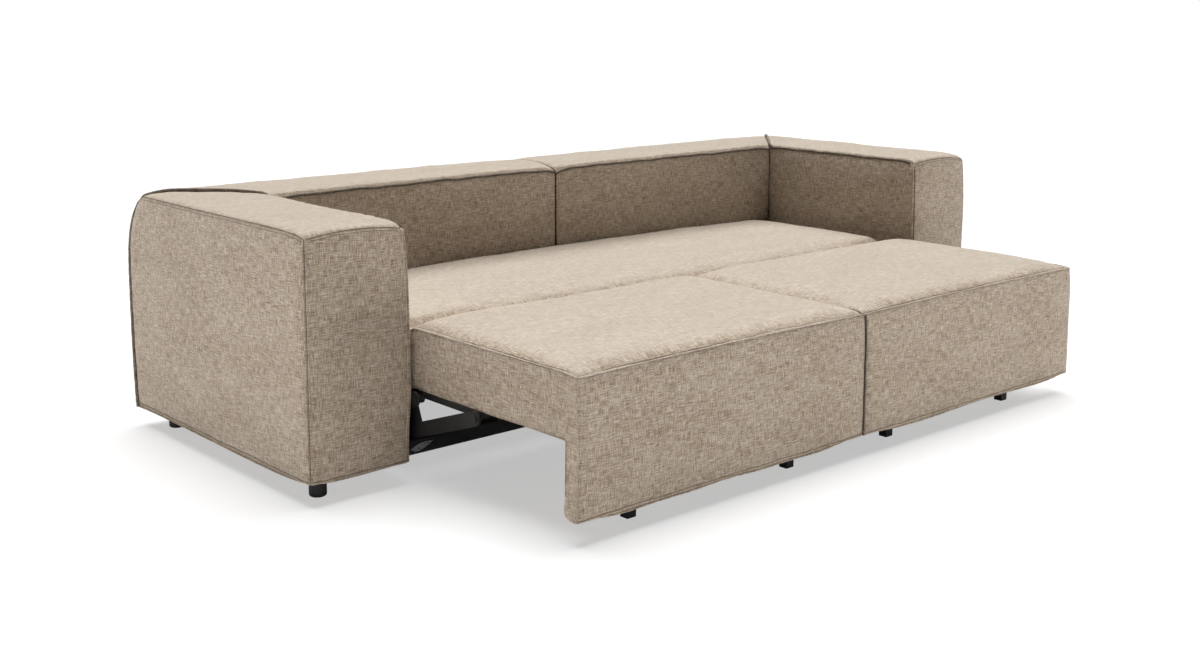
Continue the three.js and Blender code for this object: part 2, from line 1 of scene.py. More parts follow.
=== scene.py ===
"""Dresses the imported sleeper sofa: padded fabric, seams, steel, feet, floor, light and camera."""
import json
import math

import bpy
import numpy as np
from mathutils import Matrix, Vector
from mathutils.bvhtree import BVHTree


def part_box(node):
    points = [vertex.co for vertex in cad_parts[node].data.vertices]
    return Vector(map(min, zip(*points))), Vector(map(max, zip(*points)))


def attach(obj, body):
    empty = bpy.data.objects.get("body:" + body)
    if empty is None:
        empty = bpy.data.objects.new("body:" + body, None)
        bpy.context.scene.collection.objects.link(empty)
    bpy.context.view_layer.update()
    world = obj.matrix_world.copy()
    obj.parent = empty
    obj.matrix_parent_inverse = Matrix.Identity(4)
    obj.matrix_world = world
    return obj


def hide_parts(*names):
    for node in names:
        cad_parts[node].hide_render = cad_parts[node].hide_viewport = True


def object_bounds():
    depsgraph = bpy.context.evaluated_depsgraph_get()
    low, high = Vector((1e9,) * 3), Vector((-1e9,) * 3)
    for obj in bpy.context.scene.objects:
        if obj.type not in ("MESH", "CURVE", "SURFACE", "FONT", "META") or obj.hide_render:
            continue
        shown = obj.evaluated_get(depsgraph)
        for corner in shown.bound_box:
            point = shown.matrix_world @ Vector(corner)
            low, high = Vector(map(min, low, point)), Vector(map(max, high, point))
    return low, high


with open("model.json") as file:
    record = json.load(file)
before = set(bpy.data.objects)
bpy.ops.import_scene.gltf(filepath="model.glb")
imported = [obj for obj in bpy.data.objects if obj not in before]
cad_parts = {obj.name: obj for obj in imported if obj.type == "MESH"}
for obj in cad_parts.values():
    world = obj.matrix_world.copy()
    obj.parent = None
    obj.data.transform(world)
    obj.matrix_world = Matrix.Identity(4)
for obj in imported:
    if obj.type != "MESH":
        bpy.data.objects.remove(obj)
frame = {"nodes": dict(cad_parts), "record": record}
cad_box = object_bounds()
nodes = frame["nodes"]
scene = bpy.context.scene
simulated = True

# Camera

CAMERA_PLACE = (-3.3028, -3.4555, 1.3393)
CAMERA_PITCH = 8.443
CAMERA_YAW = 41.298
CAMERA_LENS = 43.98
CAMERA_SHIFT = -0.1
SENSOR_WIDTH = 36

camera_data = bpy.data.cameras.new("camera")
camera_data.sensor_width = SENSOR_WIDTH
camera_data.lens = CAMERA_LENS
camera_data.shift_y = CAMERA_SHIFT
camera = bpy.data.objects.new("camera", camera_data)
camera.location = CAMERA_PLACE
camera.rotation_euler = (math.radians(90 - CAMERA_PITCH), 0, math.radians(-CAMERA_YAW))
scene.collection.objects.link(camera)
scene.camera = camera

# Shader maths


class Wire:
    """A value that varies over a surface. Arithmetic on it adds Math nodes."""

    def __init__(self, finish, socket):
        self.finish = finish
        self.socket = socket

    def maths(self, operation, *values):
        return self.finish.node("Math", {"operation": operation}, values)

    def __add__(self, other):
        return self.maths("ADD", self, other)

    def __sub__(self, other):
        return self.maths("SUBTRACT", self, other)

    def __rsub__(self, other):
        return self.maths("SUBTRACT", other, self)

    def __mul__(self, other):
        return self.maths("MULTIPLY", self, other)

    __radd__ = __add__
    __rmul__ = __mul__

    def within(self, low, high):
        """0 below low, 1 above high, and smooth between them."""
        settings = {"interpolation_type": "SMOOTHSTEP", "clamp": True}
        return self.finish.node("MapRange", settings, {0: self, 1: low, 2: high})

    def between(self, low, high):
        """The value from low to high as this one goes from 0 to 1."""
        return self * (high - low) + low


class Finish:
    """The shader nodes of one finish, in a material of its own or in the given holder."""

    def __init__(self, name, holder=None):
        self.holder = holder or bpy.data.materials.new(name)
        self.holder.use_nodes = True
        self.tree = self.holder.node_tree
        self.tree.nodes.clear()

    def node(self, kind, settings=None, sockets=(), output=0):
        """Adds a node, sets its settings, then its sockets by place or name, and gives one output."""
        node = self.tree.nodes.new("ShaderNode" + kind)
        for key, value in (settings or {}).items():
            setattr(node, key, value)
        pairs = sockets.items() if isinstance(sockets, dict) else enumerate(sockets)
        for key, value in pairs:
            if isinstance(value, Wire):
                self.tree.links.new(value.socket, node.inputs[key])
            else:
                node.inputs[key].default_value = value
        return Wire(self, node.outputs[output]) if len(node.outputs) else None

    def mix(self, first, second, share):
        """A colour between two colours."""
        sockets = {0: share}
        for place, colour in ((6, first), (7, second)):
            sockets[place] = colour if isinstance(colour, Wire) else (*colour, 1)
        return self.node("Mix", {"data_type": "RGBA"}, sockets, output=2)

    def noise(self, where, scales, detail=2.0, roughness=0.5):
        """Noise from 0 to 1 whose grain may be longer one way than another."""
        place = self.node("VectorMath", {"operation": "MULTIPLY"}, {0: where, 1: scales})
        sockets = {"Vector": place, "Scale": 1.0, "Detail": detail, "Roughness": roughness}
        return self.node("TexNoise", {}, sockets)

    def bands(self, where, direction, scale, sway):
        settings = {"wave_type": "BANDS", "bands_direction": direction}
        sockets = {"Vector": where, "Scale": scale, "Distortion": sway, "Detail": 1.0}
        return self.node("TexWave", settings, sockets)

    def bump(self, height, distance, strength=1.0):
        return self.node("Bump", {}, {"Height": height, "Distance": distance, "Strength": strength})

    def done(self, sockets):
        """Closes the material with a Principled shader."""
        shader = self.node("BsdfPrincipled", {}, sockets)
        self.node("OutputMaterial", {}, {"Surface": shader})
        return self.holder


def dimmed(colour, share):
    return [tone * share for tone in colour]


# Woven fabric

CLOTH_MAP = "cloth"
# The seam attribute holds painted shade beside the seams: the cloth darkens where shade falls in the creases.
SEAM_SHADE_VALUE = "seam"
PUCKER_VALUE = "pucker"
MIDDLE = 0.5
# The weave's dark, middle and light tones, and last the painted light of faces that look up.
WEAVE = [(0.235, 0.172, 0.12), (0.445, 0.356, 0.268), (0.665, 0.582, 0.487), (0.60, 0.55, 0.485)]

# The grains of the weave, each with its scales across and along the cloth, its detail and its roughness
CLOTH_GRAINS = {
    "yarn_warp": ((820, 60, 1), 2),
    "yarn_weft": ((58, 840, 1), 2),
    "slub_warp": ((410, 32, 1), 1),
    "slub_weft": ((27, 430, 1), 1),
    "crossing": ((90, 90, 1), 1),
    "blotch": ((16, 62, 1), 3, 0.6),
    "patch": ((3.5, 9, 1), 2),
    "grain": ((480, 480, 1), 2),
    "fleck": ((46, 380, 1), 1),
    "speck": ((365, 52, 1), 1),
    "pull": ((48, 5, 1), 2),
}
CROSSINGS = (-0.5, 1.5)
YARN_TONE = 2.7
SLUB_TONE = 3.5
OTHER_TONES = {"blotch": 0.65, "patch": 0.4, "grain": 2.3}
DARK_TONES = (-0.05, 0.55)
LIGHT_TONES = (0.5, 1.15)
FLECKS = (0.64, 0.76)
FLECK_SHARE = 0.55
SPECKS = (0.66, 0.8)
SPECK_SHARE = 0.35
SEAM_SHADE_DIMNESS = 0.5
SEAM_SHADE_SHARES = (0.25, 1.35)
# Painted light on faces that look up: how far they face up, its share, its tones and its dimness.
FACING_UP = (0.8, 1.0)
TOP_LIGHT_SHARE = 0.5
TOP_LIGHT_TONES = (0.25, 0.85)
TOP_LIGHT_DIMNESS = 0.9
THREAD_SCALES = {"X": 98.0, "Y": 92.0}
THREAD_SWAY = 1.2
YARN_HEIGHT = 1.2
SLUB_HEIGHT = 1.5
THREAD_HEIGHT = 0.22
PUCKER_HEIGHT = 3
WEAVE_BUMP = 0.0011
CLOTH_ROUGHNESS = (0.9, 1.0)
CLOTH_SHEEN = 0.35


def woven(name, dark, middle, light, top_light, sheen=CLOTH_SHEEN):
    """Slubby flat weave: short yarns in both directions, pale and dark flecks, and a thread bump, with
    painted shade beside the seams and painted light on faces that look up.
    """
    cloth = Finish(name)
    where = cloth.node("UVMap", {"uv_map": CLOTH_MAP})
    grains = {grain: cloth.noise(where, *row) for grain, row in CLOTH_GRAINS.items()}
    over = grains["crossing"].within(*CROSSINGS)

    def crossed(kind):
        warp, weft = grains[kind + "_warp"] - MIDDLE, grains[kind + "_weft"] - MIDDLE
        return warp * over + weft * (1 - over)

    yarns, slubs = crossed("yarn"), crossed("slub")
    tone = yarns * YARN_TONE + slubs * SLUB_TONE
    for grain, weight in OTHER_TONES.items():
        tone = tone + (grains[grain] - MIDDLE) * weight
    tone = tone + MIDDLE
    body = cloth.mix(dark, middle, tone.within(*DARK_TONES))
    body = cloth.mix(body, light, tone.within(*LIGHT_TONES))
    body = cloth.mix(body, light, grains["fleck"].within(*FLECKS) * FLECK_SHARE)
    body = cloth.mix(body, dark, grains["speck"].within(*SPECKS) * SPECK_SHARE)
    # Painted shade: the cloth darkens beside its seams, as if in the shadow of the crease.
    seam = cloth.node("Attribute", {"attribute_name": SEAM_SHADE_VALUE}, output="Fac")
    body = cloth.mix(body, dimmed(dark, SEAM_SHADE_DIMNESS), seam * grains["slub_weft"].between(*SEAM_SHADE_SHARES))
    # Painted light: faces that look up turn paler, as light falls on them from above.
    normal = cloth.node("NewGeometry", output="Normal")
    facing = cloth.node("SeparateXYZ", {}, [normal], output="Z").within(*FACING_UP)
    pale = cloth.mix(dimmed(top_light, TOP_LIGHT_DIMNESS), light, tone.within(*TOP_LIGHT_TONES))
    body = cloth.mix(body, pale, facing * TOP_LIGHT_SHARE)
    threads = [cloth.bands(where, *row, THREAD_SWAY) for row in THREAD_SCALES.items()]
    gathered = cloth.node("Attribute", {"attribute_name": PUCKER_VALUE}, output="Fac")
    height = yarns * YARN_HEIGHT + slubs * SLUB_HEIGHT + (threads[0] + threads[1]) * THREAD_HEIGHT
    height = height + grains["pull"] * gathered * PUCKER_HEIGHT
    return cloth.done({
        "Base Color": body,
        "Roughness": grains["blotch"].between(*CLOTH_ROUGHNESS),
        "Normal": cloth.bump(height, WEAVE_BUMP),
        "Sheen Weight": sheen,
        "Sheen Roughness": 0.3,
        "Sheen Tint": (1.0, 0.98, 0.95, 1),
        "Specular IOR Level": 0.2,
    })


# A lit or shaded copy of the weave: its tones brightened or dimmed by a share, as painted light or shade.
def woven_shade(name, share, sheen=CLOTH_SHEEN):
    return woven(name, *[dimmed(tone, share) for tone in WEAVE], sheen)


# Hard finishes and the dust cloth

# A grain is its scales, detail and roughness. A bump is its distance and strength.
STEEL_COLOUR = (0.008, 0.008, 0.0085)
STEEL_SMUDGE_COLOUR = (0.0168, 0.0168, 0.0176)
STEEL_PEEL = ((420, 420, 420), 2)
STEEL_SMUDGE = ((9, 9, 9), 3)
STEEL_SMUDGES = (0.4, 0.75)
STEEL_ROUGHNESS = (0.34, 0.54)
STEEL_BUMP = (0.0002, 0.6)
ZINC_COLOURS = ((0.34, 0.35, 0.36), (0.62, 0.63, 0.64))
ZINC_SPANGLE_SCALE = 120.0
ZINC_SPANGLE_SHARE = 0.5
ZINC_ROLLED = ((30, 900, 900), 2)
ZINC_ROLLED_SHARE = 0.5
ZINC_ROUGHNESS = (0.3, 0.5)
ZINC_BUMP = (0.0001, 0.5)
PLASTIC_COLOURS = ((0.008, 0.008, 0.009), (0.03, 0.03, 0.032))
PLASTIC_GRAIN = ((900, 900, 900), 3)
PLASTIC_SCUFF = ((60, 60, 12), 3)
PLASTIC_SCUFFS = (0.5, 0.8)
PLASTIC_ROUGHNESS = (0.4, 0.55)
PLASTIC_BUMP = (0.00015, 0.7)
WOOD_COLOURS = ((0.62, 0.44, 0.26), (0.34, 0.21, 0.11))
WOOD_PLY_COLOUR = (0.48, 0.33, 0.19)
WOOD_GRAIN = ((6, 160, 160), 4, 0.6)
WOOD_GRAINS = (0.45, 0.8)
WOOD_PLY_SCALE = 55.0
WOOD_PLY_SWAY = 0.6
WOOD_PLY_SHARE = 0.35
WOOD_PLY_HEIGHT = 0.3
WOOD_ROUGHNESS = (0.7, 0.9)
WOOD_BUMP = (0.0004, 0.6)
FELT_COLOURS = ((0.012, 0.012, 0.013), (0.045, 0.045, 0.047))
FELT_FIBRE = ((800, 500, 800), 3, 0.7)
FELT_DIMPLE_SCALE = 320.0
FELT_FIBRE_HEIGHT = 0.4
FELT_ROUGHNESS = (0.85, 0.95)
FELT_BUMP = (0.0004, 0.6)


def painted_steel(name):
    steel = Finish(name)
    where = steel.node("TexCoord", {}, output="Object")
    peel = steel.noise(where, *STEEL_PEEL)
    smudge = steel.noise(where, *STEEL_SMUDGE)
    return steel.done({
        "Base Color": steel.mix(STEEL_COLOUR, STEEL_SMUDGE_COLOUR, smudge.within(*STEEL_SMUDGES)),
        "Roughness": smudge.between(*STEEL_ROUGHNESS),
        "Metallic": 0.0,
        "Normal": steel.bump(peel, *STEEL_BUMP),
        "Specular IOR Level": 0.5,
    })


def zinc_plate(name):
    zinc = Finish(name)
    where = zinc.node("TexCoord", {}, output="Object")
    cells = zinc.node("TexVoronoi", {}, {"Vector": where, "Scale": ZINC_SPANGLE_SCALE}, output="Color")
    spangle = zinc.node("SeparateColor", {}, [cells])
    rolled = zinc.noise(where, *ZINC_ROLLED)
    return zinc.done({
        "Base Color": zinc.mix(*ZINC_COLOURS, spangle * ZINC_SPANGLE_SHARE + rolled * ZINC_ROLLED_SHARE),
        "Roughness": rolled.between(*ZINC_ROUGHNESS),
        "Metallic": 0.9,
        "Normal": zinc.bump(rolled, *ZINC_BUMP),
    })


def moulded_plastic(name):
    plastic = Finish(name)
    where = plastic.node("TexCoord", {}, output="Object")
    grain = plastic.noise(where, *PLASTIC_GRAIN)
    scuff = plastic.noise(where, *PLASTIC_SCUFF)
    return plastic.done({
        "Base Color": plastic.mix(*PLASTIC_COLOURS, scuff.within(*PLASTIC_SCUFFS)),
        "Roughness": grain.between(*PLASTIC_ROUGHNESS),
        "Normal": plastic.bump(grain, *PLASTIC_BUMP),
    })


def plywood(name):
    wood = Finish(name)
    where = wood.node("TexCoord", {}, output="Object")
    grain = wood.noise(where, *WOOD_GRAIN)
    plies = wood.bands(where, "Z", WOOD_PLY_SCALE, WOOD_PLY_SWAY)
    colour = wood.mix(*WOOD_COLOURS, grain.within(*WOOD_GRAINS))
    return wood.done({
        "Base Color": wood.mix(colour, WOOD_PLY_COLOUR, plies * WOOD_PLY_SHARE),
        "Roughness": grain.between(*WOOD_ROUGHNESS),
        "Normal": wood.bump(grain + plies * WOOD_PLY_HEIGHT, *WOOD_BUMP),
    })


def felted_cloth(name):
    felt = Finish(name)
    where = felt.node("TexCoord", {}, output="Object")
    fibre = felt.noise(where, *FELT_FIBRE)
    dimple = felt.node("TexVoronoi", {}, {"Vector": where, "Scale": FELT_DIMPLE_SCALE})
    return felt.done({
        "Base Color": felt.mix(*FELT_COLOURS, fibre),
        "Roughness": fibre.between(*FELT_ROUGHNESS),
        "Normal": felt.bump(dimple + fibre * FELT_FIBRE_HEIGHT, *FELT_BUMP),
    })


fabric = woven("woven_fabric", *WEAVE)
# Lit copy of the weave, a little brighter: painted highlight on the pale piping.
lit_piping_fabric = woven_shade("lit_piping_fabric", 1.04)
# Shaded copy of the weave, dimmed to under half: painted shade on the cords, the edge lines and the stitch
# lines.
shaded_piping = woven_shade("shaded_piping", 0.46, sheen=0.12)
# Shaded copy of the weave: painted shade on the fine lines beside the seat welts.
shaded_line_piping = woven_shade("shaded_line_piping", 0.62)
# Very dark copy of the weave: painted shadow laid in the grooves.
seam_shadow = woven_shade("seam_shadow", 0.26, sheen=0.08)
finish_of_slot = {
    "upholstery": fabric,
    "timber": plywood("plywood"),
    "black_steel": painted_steel("black_steel"),
    "zinc": zinc_plate("zinc_plate"),
    "black_plastic": moulded_plastic("black_plastic"),
    "dust_cloth": felted_cloth("dust_cloth"),
}

for row in frame["record"]["subparts"]:
    node = nodes[row["node"]]
    node.data.materials.clear()
    node.data.materials.append(finish_of_slot[row["material_slot"]])

# Grids and meshes

LINE_STEPS = (0.003, 0.007, 0.013, 0.021, 0.031, 0.043)
CLOSE_SHARE = 0.45
GRID_STEP = 0.015
GRID_DIGITS = 6
WAVE_SOFTNESS = 1.6
TINY = 1e-9
TINY_AREA = 1e-12


def grid_lines(stops, step, close=LINE_STEPS):
    """Grid lines from stop to stop, closer together beside each stop."""
    lines = []
    for start, end in zip(stops[:-1], stops[1:]):
        beside = [gap for gap in close if gap < (end - start) * CLOSE_SHARE]
        last = beside[-1] if beside else 0
        count = max(1, round((end - start - 2 * last) / step))
        middle = np.linspace(start + last, end - last, count + 1)
        before = [start] + [start + gap for gap in beside[:-1]]
        after = [end - gap for gap in beside[-2::-1]]
        lines += (before if beside else []) + list(middle) + after
    lines.append(stops[-1])
    return np.unique(np.round(lines, GRID_DIGITS))


def shell(lines, filled):
    """The grid places, the quads and their faces, round the filled cells of a grid."""
    counts = [len(line) for line in lines]
    index = np.arange(np.prod(counts)).reshape(counts)
    padded = np.pad(filled, 1)
    quads, sides = [], []
    for axis, (b, c) in enumerate(((1, 2), (2, 0), (0, 1))):
        for sign in (1, -1):
            beside = np.roll(padded, -sign, axis)[1:-1, 1:-1, 1:-1]
            cell = np.nonzero(filled & ~beside)
            corners = []
            for db, dc in ((0, 0), (1, 0), (1, 1), (0, 1)):
                at = list(cell)
                at[axis] = cell[axis] + (sign > 0)
                at[b] = cell[b] + db
                at[c] = cell[c] + dc
                corners.append(index[tuple(at)])
            quad = np.stack(corners, 1)
            quads.append(quad if sign > 0 else quad[:, ::-1])
            sides.append(np.full(len(quad), axis * 2 + (sign < 0)))
    used, faces = np.unique(np.concatenate(quads), return_inverse=True)
    at = np.unravel_index(used, counts)
    places = np.stack([np.asarray(line)[at[n]] for n, line in enumerate(lines)], 1)
    return places, faces.reshape(-1, 4), np.concatenate(sides)


def make_mesh(name, points, faces, cloth=None, smooth=True, values=None):
    mesh = bpy.data.meshes.new(name)
    mesh.from_pydata(points.tolist(), [], [list(face) for face in faces])
    if smooth:
        mesh.polygons.foreach_set("use_smooth", [True] * len(mesh.polygons))
    if cloth is not None:
        layer = mesh.uv_layers.new(name=CLOTH_MAP)
        layer.data.foreach_set("uv", np.asarray(cloth, float).ravel())
    for key, numbers in (values or {}).items():
        mesh.attributes.new(key, "FLOAT", "POINT").data.foreach_set("value", numbers)
    mesh.update()
    return mesh


def add_object(name, mesh, material):
    piece = bpy.data.objects.new(name, mesh)
    scene.collection.objects.link(piece)
    mesh.materials.append(material)
    return piece


def waves(along, lengths, seed):
    """A sum of sines along one line or in space, about -1 to 1, the same each run."""
    random = np.random.default_rng(seed)
    total = 0
    for length in lengths:
        direction = random.normal(size=along.shape[1])
        direction /= np.linalg.norm(direction)
        phase = random.uniform(0, 2 * math.pi)
        total = total + np.sin(2 * math.pi * (along @ direction) / length + phase)
    return total / math.sqrt(len(lengths) / 2) / WAVE_SOFTNESS


def run_along(line):
    """The distance of each point of a line from its start."""
    return np.concatenate([[0], np.cumsum(np.linalg.norm(np.diff(line, axis=0), axis=1))])


def barycentric(point, triangle):
    a, b, c = triangle
    v0, v1, v2 = b - a, c - a, point - a
    d00, d01, d11, d20, d21 = v0 @ v0, v0 @ v1, v1 @ v1, v2 @ v0, v2 @ v1
    base = d00 * d11 - d01 * d01
    if base < TINY ** 2:
        return np.array([1.0, 0, 0])
    second, third = (d11 * d20 - d01 * d21) / base, (d00 * d21 - d01 * d20) / base
    return np.array([1 - second - third, second, third])


def smoothed(values, faces, fixed, rounds, share):
    """Evens out values over the mesh in rounds, but not at the fixed corners."""
    sides = np.concatenate([faces[:, [n, (n + 1) % 4]] for n in range(4)])
    pairs = np.unique(np.sort(sides, axis=1), axis=0)
    count = np.bincount(pairs.ravel(), minlength=len(values)).astype(float)
    for _ in range(rounds):
        total = np.zeros_like(values)
        np.add.at(total, pairs[:, 0], values[pairs[:, 1]])
        np.add.at(total, pairs[:, 1], values[pairs[:, 0]])
        mean = total / count[:, None]
        values = np.where(fixed[:, None], values, values * (1 - share) + mean * share)
    return values


def vertex_normals(points, faces):
    quads = points[faces]
    flat = np.cross(quads[:, 2] - quads[:, 0], quads[:, 3] - quads[:, 1])
    total = np.zeros_like(points)
    for corner in range(4):
        np.add.at(total, faces[:, corner], flat)
    return total / np.maximum(np.linalg.norm(total, axis=1), TINY_AREA)[:, None]


# Padded blocks

# The faces of a block. Even ones face up an axis and odd ones down it.
OUT, IN, FAR, NEAR, UP, DOWN = range(6)

CROWN_POWER = 3
BOTTOM_SWELL_SHARE = 0.35
SEWN_POWER = 6
CORNER_POWERS = (2, 4)
FAR_INNER_SHARE = 0.4
END_POWER = 14
TOP_POWER = 4
NEAR_DRAW_SHARE = 0.4
CORNER_REACH = 0.075
CORNER_FALL = 0.035
BOW_POWER = 2
BOW_FOOT = 0.05
BOW_RISE = 0.17
BOW_TOP_POWER = 6
BOW_TOP_DROP = 0.5

ROLL_RADIUS = 0.014
ROLL_SHARE = 0.42
PUCKER_DEPTH = 0.0011
PUCKER_REACH = 0.032
PUCKER_SPAN = PUCKER_REACH * 3
PUCKER_LENGTHS = (0.034, 0.046, 0.061, 0.083)
WAVE_DEPTH = 0.0013
WAVE_LENGTHS = (0.19, 0.26, 0.33, 0.41, 0.55)
WANDER_LENGTHS = (0.11, 0.17, 0.29, 0.43)
HANG_DEPTH = 0.0028
HANG_LENGTHS = (0.23, 0.37, 0.61)
CORNER_RISE = 0.016
CORNER_RISE_REACH = 0.085

# Painted shade beside the seams: its reach, its width, its usual strength, and its share on top faces.
SHADE_REACH = 0.15
SHADE_WIDTH = 0.0065
SEAM_SHADE = 0.35
TOP_SHADE_SHARE = 0.3
GATHER_WIDTH = 0.022
FACE_SHIFT = 0.37
PAD_SHIFT = 1.13

START_FULLNESS = 0.25
SIM_STEP = 0.027
SIM_CLOSE = (0.012,)
SIM_FRAMES = 20
SPARE_ROOM = 0.002
LEAST_ROOM = 1e-4
LEAST_BOW_ROOM = 2e-4
SMOOTH_ROUNDS = 6
SMOOTH_SHARE = 0.6
CLOTH_SETTINGS = {
    "quality": 4,
    "vertex_group_mass": "held",
    "use_pressure": True,
    "uniform_pressure_force": 4.0,
    "shrink_min": -0.012,
}

ON_FACE = 1e-4
ON_ROW = 1e-5
ON_ROLL = 1e-6
PUCKER_SEED, WANDER_SEED, FACE_SEED = 31, 5, 7


def hump(t, power=CROWN_POWER):
    return 1 - np.abs(t) ** power


def outward(face):
    return 1 if face % 2 == 0 else -1


class Pad:
    """A padded block between two corners, in places (across, along, height).

    By face, swells is how far it bulges and draws is how far its corners pull in.
    Seams are pairs of faces, with painted shades and depths by pair.
    """

    joined = (False, False)  # whether the near and far ends are sewn to another module
    notch = None  # the axis, start and end of the part that is cut away below a height
    rounds = ()  # pairs of faces, the radius between them, and the corner if it isn't the block's own
    held = ()  # faces that the cloth can't leave
    stops = ((), (), ())  # places on each axis that need a grid line
    mirror = False
    turned = False  # whether its first axis lies along the sofa's depth
    roll = ROLL_RADIUS
    roll_share = ROLL_SHARE
    spare = {}  # by face, how far the cloth may pass its swell
    # By seam, how strong the painted shade beside it is.
    shades = {}
    depths = {}
    corner = 0.0  # how far the near outer top corner pulls in
    crown = CROWN_POWER
    bow = 0.0  # how full the inner face stays up to its near edge

    def __init__(self, name, low, high, swells, draws, seams, seed, **settings):
        self.name, self.seed = name, seed
        self.low, self.high = np.array(low), np.array(high)
        self.swells, self.draws, self.seams = swells, draws, seams
        for key, value in settings.items():
            setattr(self, key, value)

    def ends(self, a):
        """Where the near and far ends are, at a place across the block."""
        return self.low[1], self.high[1]

    def shell(self, step, close):
        lines = [grid_lines([self.low[n], *self.stops[n], self.high[n]], step, close) for n in range(3)]
        centres = [(line[1:] + line[:-1]) / 2 for line in lines]
        grid = np.meshgrid(*centres, indexing="ij")
        filled = np.ones(grid[0].shape, bool)
        if self.notch:
            axis, start, end, top = self.notch
            filled &= ~((grid[axis] > start) & (grid[axis] < end) & (grid[2] < top))
        return shell(lines, filled)

    def gaps(self, grid):
        """How far each grid place is inside each of the six faces."""
        pairs = [(self.high[n] - grid[:, n], grid[:, n] - self.low[n]) for n in range(3)]
        return np.stack([gap for pair in pairs for gap in pair], 1)

    def nearness(self, grid, radius):
        """For each face, 1 on it and 0 from the radius inwards."""
        return np.clip(1 - self.gaps(grid) / radius, 0, 1)

    def rounded(self, grid):
        """Takes the square edges in self.rounds to their radius."""
        out = grid.copy()
        for f, g, radius, *corner in self.rounds:
            axes, signs = [f // 2, g // 2], np.array([outward(f), outward(g)])
            own = [(self.high if face % 2 == 0 else self.low)[face // 2] for face in (f, g)]
            centre = np.array(corner or own) - signs * radius
            offset = (out[:, axes] - centre) * signs
            inside = (offset > 0).all(1) & (offset < radius + ON_ROLL).all(1)
            length = np.linalg.norm(offset, axis=1)
            scale = np.where(inside, offset.max(1) / np.maximum(length, TINY), 1)
            out[:, axes] = np.where(inside[:, None], centre + offset * scale[:, None] * signs, out[:, axes])
        return out

    def bow_fade(self, grid):
        """For a bowed inner face: 1 over most of it, and 0 at its far end and its foot."""
        if not self.bow:
            return np.ones(len(grid))
        along = 2 * (grid[:, 1] - self.low[1]) / (self.high[1] - self.low[1]) - 1
        rise = np.clip((grid[:, 2] - self.low[2] - BOW_FOOT) / BOW_RISE, 0, 1)
        return hump(np.clip(along, 0, 1), BOW_POWER) * rise ** 2 * (3 - 2 * rise)

    def swollen(self, grid, fullness):
        """The block's own shape: faces swell between their edges, and corners draw in."""
        places = self.rounded(grid)
        u, v, w = (2 * (places - self.low) / (self.high - self.low) - 1).T
        sewn = np.where(v < 0, *self.joined)
        end_hump, end_crown = (np.where(sewn, 1, hump(v, power)) for power in (CROWN_POWER, self.crown))
        top_hump, kept = hump(u, self.crown), sewn * v ** SEWN_POWER
        level_hump = 1 - (1 - hump(w)) * np.where(w < 0, BOTTOM_SWELL_SHARE, 1)
        if self.bow:
            level_hump = np.where(u < 0, 1 - np.clip(w, 0, 1) ** BOW_TOP_POWER * BOW_TOP_DROP, level_hump)
        bowed = np.where(u < 0, self.bow_fade(places), 1)
        near_power, far_power = CORNER_POWERS
        side = np.where(v < 0, u ** near_power, u ** far_power * np.where(u < 0, FAR_INNER_SHARE, 1))
        end, top = v ** END_POWER, np.clip(w, 0, None) ** TOP_POWER

        def inset(t, before, after, rise, corner, least=0):
            swell = np.where(t < 0, self.swells.get(before, 0), self.swells.get(after, 0))
            draw = np.where(t < 0, self.draws.get(before, 0), self.draws.get(after, 0))
            return t * (swell * (1 - np.maximum(fullness * rise, least)) + draw * corner)

        least = level_hump * np.where(u < 0, np.maximum(kept, self.bow), kept) * bowed
        drawn_end = end * top * np.where(v < 0, NEAR_DRAW_SHARE, 1)
        a = places[:, 0] - inset(u, IN, OUT, end_hump * level_hump * bowed, drawn_end, least)
        near_end, far_end = self.ends(a)
        length = far_end - near_end
        b = near_end + length * (v + 1) / 2 - inset(v, NEAR, FAR, hump(u) * level_hump, side * top)
        h = places[:, 2] - inset(w, DOWN, UP, top_hump * end_crown, side * end, top_hump * kept)
        beside = self.high[0] - places[:, 0] + (1 - v) / 2 * length
        below = self.high[2] - places[:, 2]
        drawn = self.corner * np.exp(-beside / CORNER_REACH - below / CORNER_FALL)
        return np.stack([a - drawn, b - drawn, h], 1)

    def with_rolls(self, points, grid):
        """Turns the cover in towards each seam, and puckers it beside the seam."""
        near = self.nearness(grid, self.roll)
        far_near = self.nearness(grid, PUCKER_SPAN)
        on_face = near > 1 - ON_ROLL
        depth, pucker = np.zeros((len(points), 6)), np.zeros((len(points), 6))
        for seam in self.seams:
            share = self.roll_share * self.depths.get(seam, 1)
            for face, other in (seam, seam[::-1]):
                turned_in = np.where(on_face[:, face], near[:, other] ** 2,
                                     np.where(on_face[:, other], near[:, face], 0))
                depth[:, face] = np.maximum(depth[:, face], turned_in * share)
                third = 3 - face // 2 - other // 2
                gap = (1 - far_near[:, other]) * PUCKER_SPAN
                fade = np.exp(-gap / PUCKER_REACH) * np.clip(gap / self.roll, 0, 1)
                seed = self.seed * PUCKER_SEED + face * FACE_SEED + other
                fold = waves(points[:, [third]], PUCKER_LENGTHS, seed)
                pucker[:, face] += np.where(far_near[:, other] > 0, fold * fade, 0)
        for face in range(6):
            fold = np.where(on_face[:, face], pucker[:, face] * PUCKER_DEPTH, 0)
            points[:, face // 2] -= outward(face) * (depth[:, face] * self.roll + fold)
        return points

